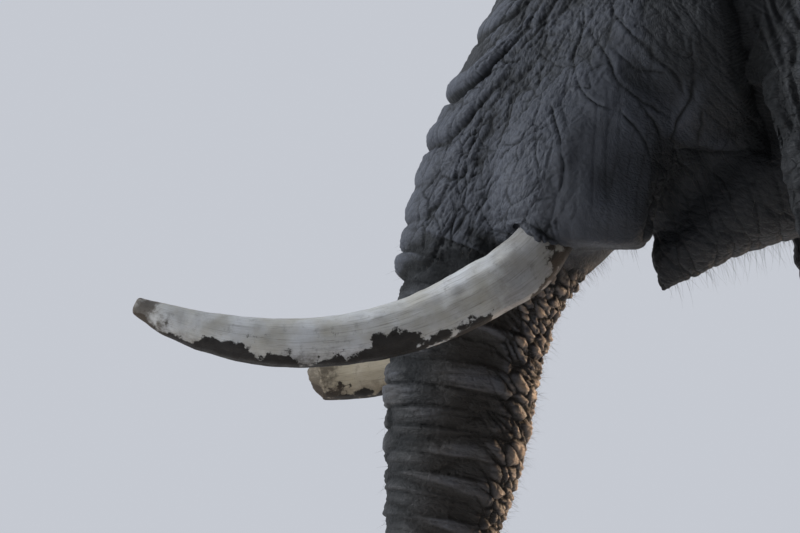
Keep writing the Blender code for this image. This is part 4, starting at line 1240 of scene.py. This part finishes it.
def skin_tones(skin):
    """How pale, earthy, moist and dusty the skin is at each point. The paleness also holds painted light and
    shade, and some of the dust colour is painted light.
    """
    p, mask, height = skin.points, skin.mask, skin.points[:, 2]
    from_eye = skin.y - EYE_Y
    # paler on the folds' ridges and darker in their grooves: painted light and shade
    tone_light_and_shade = 0.5 + skin.height / 0.020
    tone_light_and_shade += 0.16 * noise(p * 2.2, 501) + 0.12 * noise(p * 9, 502)
    # painted shade on the rear of the face, the ears, the front of the ears and the jaw
    rear_face = skin.face * smoothstep(0.30, 0.55, skin.behind)
    rear_face = rear_face * smoothstep(EYE_Z + 0.1, EYE_Z - 0.25, skin.z)
    ear_front = mask["ear"] * smoothstep(0.80, 0.50, from_eye)
    tone_light_and_shade -= 0.42 * rear_face + 0.12 * mask["ear"] + 0.32 * ear_front + 0.46 * mask["jaw"]
    # painted light on skin that faces up
    tone_light_and_shade += 0.10 * smoothstep(0.2, 0.9, skin.out[:, 2])
    # painted shade on the head above the lip, painted light on the face below it and on the trunk
    tone_light_and_shade -= 0.28 * mask["head"] * smoothstep(LIP_Z + 0.25, LIP_Z + 0.50, skin.z)
    tone_light_and_shade += 0.14 * mask["head"] * smoothstep(LIP_Z + 0.35, LIP_Z + 0.20, skin.z) + 0.08 * mask["trunk"]
    # the trunk's ridges paler and its grooves darker: painted light and shade
    tone_light_and_shade += mask["trunk"] * (0.12 + 0.6 * skin.height / 0.020)
    low = smoothstep(0.75, 0.05, height + 0.10 * noise(p * 5, 503))
    back = smoothstep(0.3, 0.9, skin.out[:, 2]) * smoothstep(2.2, 2.7, height)
    # the hollow between the cheek and the ear darkened: painted shade
    hollow = smoothstep(0.20, 0.36, from_eye) * smoothstep(0.62, 0.40, from_eye)
    hollow = hollow * bump(height, LIP_Z + 0.30, 0.5) * skin.face
    tone_light_and_shade -= 0.5 * hollow
    # the gaps between cheek and ear and between sheath and jaw painted dark as shadow, over a shallow groove
    # in the ear
    beside = (np.abs(skin.x) > 0.08) & (np.abs(from_eye - 0.25) < 0.26) & (skin.z < EYE_Z + 0.12)
    beside = np.flatnonzero(beside)
    for line, wide, much in ((EAR_GAP, 0.046, 1.0), (MOUTH_GAP, 0.026, 0.8)):
        away, end = side_distance(skin, beside, line)
        gap = smoothstep(wide + 0.012, wide - 0.012, away) * end
        tone_light_and_shade[beside] -= much * gap
        skin.add(beside, -0.018 * gap * mask["ear"][beside], 0.8 * much * gap)
    # darker under the upper lip: painted shade
    under_lip = bump(from_eye, -0.06, 0.14) * bump(skin.z, LIP_Z - 0.05, 0.09)
    under_lip = under_lip * smoothstep(0.30, 0.22, np.abs(skin.x))
    tone_light_and_shade -= 0.6 * under_lip
    low = np.maximum(low, 0.8 * mask["trunk"] * smoothstep(LIP_Z - 0.05, LIP_Z - 0.35, height))
    earth = np.clip(0.9 * low + 0.55 * back + 0.45 * hollow + 0.25 * mask["ear"], 0, 1)
    earth = np.clip(earth + 0.25 * noise(p * 1.3, 504), 0, 1)
    moist = np.zeros(len(p))
    for side in SIDES:
        along, above, outward = eye_frame(p, side)
        near = (np.hypot(along, above) < 0.05) & (outward > -0.05)
        moist = np.where(near, 0.55 * smoothstep(1.16, 0.98, in_slit(along, above)), moist)
    rear = mask["trunk"] * smoothstep(0.085, 0.15, skin.back + 0.03 * noise(p * 30, 506))
    dust = 0.85 * rear * smoothstep(-0.007, 0.003, skin.height) * smoothstep(0.20, 0.50, skin.z)
    dust *= 1 - 0.85 * under_lip
    # painted light: the backs of the ears and the rear of the trunk made paler, partly through the dust
    # colour
    behind_ear = mask["ear"] * smoothstep(-0.1, -0.5, skin.out[:, 0] * np.sign(skin.x))
    behind_ear *= smoothstep(0.50, 0.70, from_eye)
    trunk_side = mask["trunk"] * smoothstep(-0.13, 0.0, skin.back) * (1 - under_lip)
    tone_light_and_shade += 0.45 * behind_ear + 0.12 * trunk_side
    dust = np.maximum(dust, 0.10 * behind_ear + 0.05 * trunk_side)
    return {"tone_light_and_shade": np.clip(tone_light_and_shade, 0, 1), "earth": earth, "moist": moist, "dust": dust}


FACE_PROUD = 0.004  # how far the folds of the face and trunk stand out again


def skin_piece():
    """The hide over all the flesh; gives back the skin, and its points as they end up."""
    skin = Skin(*fine_mesh())
    for fold in (trunk_folds, face_folds, front_rings, body_folds, ear_folds, named_folds, eye_folds):
        fold(skin)
    values = skin_tones(skin)
    proud = skin.height - COAT_DEPTH + FACE_PROUD * skin.face
    above_sole = smoothstep(0.0, 0.02, skin.points[:, 2])
    points = lids(skin.points + skin.out * (proud * above_sole)[:, None], skin.crease)
    points[:, 2] = np.maximum(points[:, 2], 0)
    values.update(plain=1 - np.clip(1.5 * skin.face, 0, 1), flow=skin.flow(), crease=skin.crease)
    piece = mesh_piece("hide", points, skin.triangles, values, hide_paint())
    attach(piece, "root")
    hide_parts(*FLESH)
    return skin, points


# ---------------------------------------------------------------- hairs, as thin solid prisms

HAIR_RINGS = 4  # rings of three points along each hair, before its tip
ROOT_DEPTH = 0.003  # how far under the skin the hairs begin


def strands(roots, ways, lengths, thick, droop, curl, seed):
    """Tapered three-sided hairs that leave their roots along ways, hang by droop and bend by curl."""
    number = np.arange(len(roots))
    ways = unit(ways)
    helper = np.where(np.abs(ways[:, 2:3]) < 0.8, (0.0, 0.0, 1.0), (1.0, 0.0, 0.0))
    side = unit(np.cross(ways, helper))
    other = np.cross(ways, side)
    turn = 2 * math.pi * chance(number, seed)
    bend = side * np.cos(turn)[:, None] + other * np.sin(turn)[:, None]
    rings = []
    for k in range(HAIR_RINGS + 1):
        t = k / HAIR_RINGS
        middle = roots + ways * (lengths * t)[:, None] + bend * (curl * lengths * t * t)[:, None]
        middle[:, 2] -= droop * lengths * t * t
        width, corners = (thick * (1 - 0.85 * t), 3) if k < HAIR_RINGS else (0.0, 1)
        for around in (2 * math.pi * corner / 3 for corner in range(corners)):
            rings.append(middle + (side * math.cos(around) + other * math.sin(around)) * width)
    points = np.stack(rings, 1)
    size = points.shape[1]
    faces = [(0, 2, 1)]
    for k, corner in product(range(HAIR_RINGS), range(3)):
        a, b = 3 * k + corner, 3 * k + (corner + 1) % 3
        faces += [(a, b, b + 3), (a, b + 3, a + 3)] if k < HAIR_RINGS - 1 else [(a, b, size - 1)]
    faces = np.array(faces)[None] + (number * size)[:, None, None]
    along = np.arange(size) // 3 / HAIR_RINGS
    values = {"strand": np.repeat(chance(number, seed, 1), size), "along": np.tile(along, len(roots))}
    return points.reshape(-1, 3), faces.reshape(-1, 3), values


def chosen(weight, number, seed):
    """That many of the skin's points, picked at random but more often where the weight is greater."""
    total = np.cumsum(weight)
    return np.searchsorted(total, chance(np.arange(number), seed, third=7) * total[-1])


def hair_piece(name, points, rows, ways, lengths, thick, droop, curl, paint, slot, seed):
    """One piece of hairs rooted a little under the skin at the given rows of its points."""
    roots = points[rows] - ROOT_DEPTH * unit(ways)
    shape, faces, values = strands(roots, ways, lengths, thick, droop, curl, seed)
    piece = mesh_piece(name, shape, faces, values, paint)
    add_root_map(piece, hide_map[rows], len(shape) // len(rows))
    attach(piece, "root")
    return piece


def point_areas(points, triangles):
    """The area of the triangles round each point."""
    corner = points[triangles]
    area = np.linalg.norm(np.cross(corner[:, 1] - corner[:, 0], corner[:, 2] - corner[:, 0]), axis=1)
    return sum(np.bincount(column, weights=area, minlength=len(points)) for column in triangles.T)


def lengths_of(rows, low, high, seed):
    """Random lengths for the hairs at these rows, more of them short than long."""
    return low + (high - low) * chance(rows, seed, 3) ** 1.6


def body_hairs(skin, points):
    """Sparse bristles: on the chin, lips, trunk, crown and ears, and thinly over the whole back."""
    paint = hair_paint("bristle", (0.012, 0.011, 0.010), (0.075, 0.060, 0.045))
    out = normals(points, skin.triangles)
    mask = skin.mask
    y, z, up = points[:, 1], points[:, 2], out[:, 2]
    area = point_areas(points, skin.triangles)
    lip = mask["head"] * bump(z, LIP_Z - 0.005, 0.05) * smoothstep(0.0, -0.6, up)
    body = np.clip(mask["body"] + mask["neck"] + 0.5 * mask["hindleg"] + 0.5 * mask["foreleg"], 0, 1)
    body = body * smoothstep(0.15, 0.5, z)
    trunk = mask["trunk"] * (0.15 + smoothstep(-0.02, 0.10, skin.back))
    # where each lot of hairs grows, how many there are, their shortest and longest, thickness and droop
    places = {
        "chin": (mask["jaw"] * smoothstep(-0.2, -0.8, up), 420, 0.020, 0.065, 0.00032, 0.35),
        "lip": (lip * smoothstep(EYE_Y + 0.2, EYE_Y, y), 420, 0.012, 0.045, 0.00028, 0.3),
        "trunk": (trunk, 2600, 0.010, 0.038, 0.00028, 0.15),
        "crown": (mask["head"] * smoothstep(EYE_Z + 0.35, EYE_Z + 0.6, z), 1300, 0.020, 0.055, 0.0003, 0.1),
        "ears": (mask["ear"] * smoothstep(EYE_Y + 0.62, EYE_Y + 0.40, y), 700, 0.015, 0.045, 0.00026, 0.25),
        "back": (body * (0.35 + 0.65 * smoothstep(0.0, 0.8, up)), 5200, 0.015, 0.042, 0.0003, 0.12),
    }
    for seed, (name, (share, number, low, high, thick, droop)) in enumerate(places.items(), start=701):
        rows = chosen(np.clip(share, 0, 1) * area, number, seed)
        spread = np.stack([noise(points[rows] * 37 + 5 * k, seed + k) for k in range(3)], 1)
        ways = 1.4 * out[rows] + 0.55 * spread + (0.0, 0.25, -0.25)
        lengths = lengths_of(rows, low, high, seed)
        hair_piece(f"hairs_{name}", points, rows, ways, lengths, thick, droop, 0.25, paint, "hide", seed)


def lashes(points):
    """Long lashes along the upper lids, and shorter ones along the lower."""
    paint = hair_paint("lash", (0.008, 0.007, 0.006), (0.040, 0.032, 0.026))
    for side, sign in SIDES.items():
        along, above, outward = eye_frame(points, side)
        near = (outward > 0) & (np.abs(in_slit(along, above) - 1.25) < 0.16)
        for lid, on_lid, number, low, high, down, droop in (
            ("upper", above > 0, 75, 0.030, 0.052, -0.35, 0.25),
            ("lower", above <= 0, 34, 0.012, 0.022, -0.8, 0.1),
        ):
            ring = np.flatnonzero(near & on_lid)
            ring = ring[np.argsort(along[ring])]
            rows = ring[np.linspace(0, len(ring) - 1, number).astype(int)]
            ways = np.array([[sign, 0, down]]) + 0.12 * noises(points[rows] * 300, 761, 3)
            ways[:, 1] += 0.55 * along[rows] / EYE_HALF_LENGTH
            lengths = lengths_of(rows, low, high, 771)
            name = f"lashes_{lid}_{side}"
            hair_piece(name, points, rows, ways, lengths, 0.00032, droop, 0.0, paint, "hide", 773)


TAIL_STRANDS = 620


def tail_hair(skin, points):
    """The coarse black hair round the end of the tail, which fills the tuft's place."""
    low, high = low_high("tail_tuft")
    height = points[:, 2] - high[2]
    near = (skin.mask["tail"] > 0.5) & (height < 0.17) & (height > -0.02)
    rows = chosen(near.astype(float), TAIL_STRANDS, 781)
    turn, far, fall = (chance(np.arange(TAIL_STRANDS), 783, k) for k in range(3))
    half = (high - low) / 2 - 0.004
    spread = np.sqrt(far) * (np.cos(2 * math.pi * turn), np.sin(2 * math.pi * turn))
    middle = (low + high)[:2, None] / 2 + half[:2, None] * spread
    bottom = low[2] + 0.012 + (high[2] - low[2]) * 0.55 * fall**2
    ways = np.stack([*middle, bottom], 1) - points[rows]
    lengths = np.linalg.norm(ways, axis=1)
    paint = hair_paint("tail_hair", (0.006, 0.006, 0.006), (0.030, 0.026, 0.022), 0.42)
    name, slot = "tail_tuft_hair", "tail_hair"
    piece = hair_piece(name, points, rows, ways, lengths, 0.0011, 0.0, 0.02, paint, slot, 787)
    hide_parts("tail_tuft")


# ---------------------------------------------------------------- the unwrap that the hairs' roots lie on

MAP_DETAIL = {"head": 2.4, "jaw": 2.4, "trunk": 2.0, "ear": 1.4}  # how much more room these parts take
MAP_MARGIN = 0.05  # metres between the charts
HAIR_PATCH = 0.003  # the width of a hair's patch on the map
PAIRED = ("ear", "foreleg", "hindleg", "foot")  # the parts whose left and right sides get charts of their own


def shelves(sizes, width):
    """Corners for boxes set side by side on shelves of this width, and how high the shelves reach."""
    corners = np.zeros((len(sizes), 2))
    across, base, tall = 0.0, 0.0, 0.0
    for k in np.argsort(-sizes[:, 1], kind="stable"):
        if across + sizes[k, 0] > width:
            across, base, tall = 0.0, base + tall, 0.0
        corners[k] = across, base
        across += sizes[k, 0]
        tall = max(tall, sizes[k, 1])
    return corners, base + tall


def skin_map(skin):
    """Where each point of the skin lies on an unwrap of its shape: a chart for each side of each part."""
    names = list(GROUPS)
    part = np.stack([skin.mask[name] for name in names], 1).argmax(axis=1)
    facing = np.concatenate([skin.out, -skin.out], axis=1).argmax(axis=1)
    left = np.isin(part, [names.index(name) for name in PAIRED]) & (skin.x > 0)
    label = (part * 2 + left) * 6 + facing
    flat = np.zeros((len(label), 2))
    charts, sizes = np.unique(label), []
    for chart in charts:
        rows = label == chart
        axes = [axis for axis in (1, 0, 2) if axis != chart % 3]
        spread = skin.points[rows][:, axes] * MAP_DETAIL.get(names[chart // 12], 1.0)
        flat[rows] = spread - spread.min(axis=0)
        sizes.append(np.ptp(spread, axis=0) + MAP_MARGIN)
    sizes = np.array(sizes)
    width = math.sqrt((sizes[:, 0] * sizes[:, 1]).sum())
    while shelves(sizes, width)[1] > width:
        width *= 1.02
    corners, _ = shelves(sizes, width)
    place = flat + corners[np.searchsorted(charts, label)] + MAP_MARGIN / 2
    return np.clip(place / width, 0.0, 1 - HAIR_PATCH)


def add_root_map(piece, places, size):
    """Gives each hair a small patch of the OFBake map at its root's place, round and along the hair."""
    k = np.arange(size)
    around = np.where(k == size - 1, 0.5, (k % 3) / 2)
    along = (k // 3) / HAIR_RINGS + 0.04 * (k == 1)
    patch = np.stack([around, along], 1) * HAIR_PATCH
    at = (places[:, None, :] + patch[None]).reshape(-1, 2)
    corner = np.empty(len(piece.data.loops), np.int32)
    piece.data.loops.foreach_get("vertex_index", corner)
    layer = piece.data.uv_layers.new(name="OFBake", do_init=False)
    layer.uv.foreach_set("vector", at[corner].astype(np.float32).ravel())


# ---------------------------------------------------------------- floor, light and camera

BACKDROP, SHADE = (0.56, 0.585, 0.64), (0.045, 0.047, 0.050)
BRIGHTEST = (-0.52, -0.74, 0.42)  # the way to the lightest part of the surroundings
FLOOR_RADIUS, FLOOR_CORNERS = 16, 96

# each lamp's place, size, watts, beam in degrees and colour
LAMPS = {
    "key": ((0.9, -10.0, 3.6), 4.5, 160, 90, (0.92, 0.96, 1.0)),
    "top": ((-1.2, -2.8, 8.5), 5.0, 150, 180, (0.90, 0.95, 1.0)),
    "fill": ((-1.0, 9.8, 6.0), 6.0, 230, 120, (1.0, 0.95, 0.88)),
    "rim": ((-4.0, 3.2, 1.9), 2.0, 78, 60, (1.0, 0.70, 0.46)),
}


def place_aimed(name, data, place, target):
    """Adds a lamp or camera at a place, aimed at a target."""
    thing = bpy.data.objects.new(name, data)
    thing.location = place
    thing.rotation_euler = (Vector(target) - thing.location).to_track_quat("-Z", "Y").to_euler()
    bpy.context.scene.collection.objects.link(thing)
    return thing


def stage():
    """A round pale floor, a pale backdrop that lights one side more, and four lamps."""
    mesh = bpy.data.meshes.new("floor")
    turns = np.linspace(0, 2 * math.pi, FLOOR_CORNERS + 1)[:-1]
    edge = [(FLOOR_RADIUS * math.cos(a), FLOOR_RADIUS * math.sin(a), 0) for a in turns]
    mesh.from_pydata(edge, [], [tuple(range(FLOOR_CORNERS))])
    mesh.materials.append(floor_paint())
    floor = bpy.data.objects.new("floor", mesh)
    bpy.context.scene.collection.objects.link(floor)
    floor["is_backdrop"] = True

    sky = Paint(bpy.data.worlds.new("studio"), "Background")
    bpy.context.scene.world = sky.owner
    direction = sky.node("TexCoord", {}, "Generated")
    toward = sky.node("VectorMath", {0: direction, 1: BRIGHTEST}, "Value", operation="DOT_PRODUCT")
    lit = sky.node("MapRange", {"Value": toward, "From Min": -0.50, "From Max": 0.75})
    seen = sky.node("LightPath", {}, "Is Camera Ray")
    sky.set(Color=sky.mix(seen, sky.mix(lit, SHADE, BACKDROP), BACKDROP))

    for name, (place, size, power, beam, colour) in LAMPS.items():
        lamp = bpy.data.lights.new(name, "AREA")
        lamp.size = size
        lamp.energy = power
        lamp.spread = math.radians(beam)
        lamp.color = colour
        place_aimed(name, lamp, place, (0.2, EYE_Y - 0.2, 1.7))


CAMERA_HEIGHT = 1.155
CAMERA_AWAY = 12.0  # from the near side of the face
VIEW_WIDTH = 1.808  # what the frame spans there
SENSOR_WIDTH = 36


def camera():
    """Level with the bull's chin, square to its left side, framed on the face, trunk and tusks."""
    near = EYES["left"][0] + 0.008
    target = Vector((near, EYE_Y - 0.502, LIP_Z - 0.019))
    lens = bpy.data.cameras.new("camera")
    lens.sensor_width = SENSOR_WIDTH
    lens.lens = SENSOR_WIDTH * CAMERA_AWAY / VIEW_WIDTH
    lens.clip_end = 200
    place = (near + CAMERA_AWAY, target.y, CAMERA_HEIGHT)
    bpy.context.scene.camera = place_aimed("camera", lens, place, target)
    bpy.context.scene.view_settings.view_transform = "Standard"


def record_sizes():
    """Measures the CAD model's box and the visual model's box, and keeps neither."""
    for name, corners in (("cad", cad_box), ("visual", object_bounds())):
        [[float(v) for v in corner] for corner in corners]


stage()
camera()
skin, hide_points = skin_piece()
tusk_piece("tusk_left")
tusk_piece("tusk_right")
nail_pieces()
eye_pieces()
hide_map = skin_map(skin)
body_hairs(skin, hide_points)
lashes(hide_points)
tail_hair(skin, hide_points)
record_sizes()
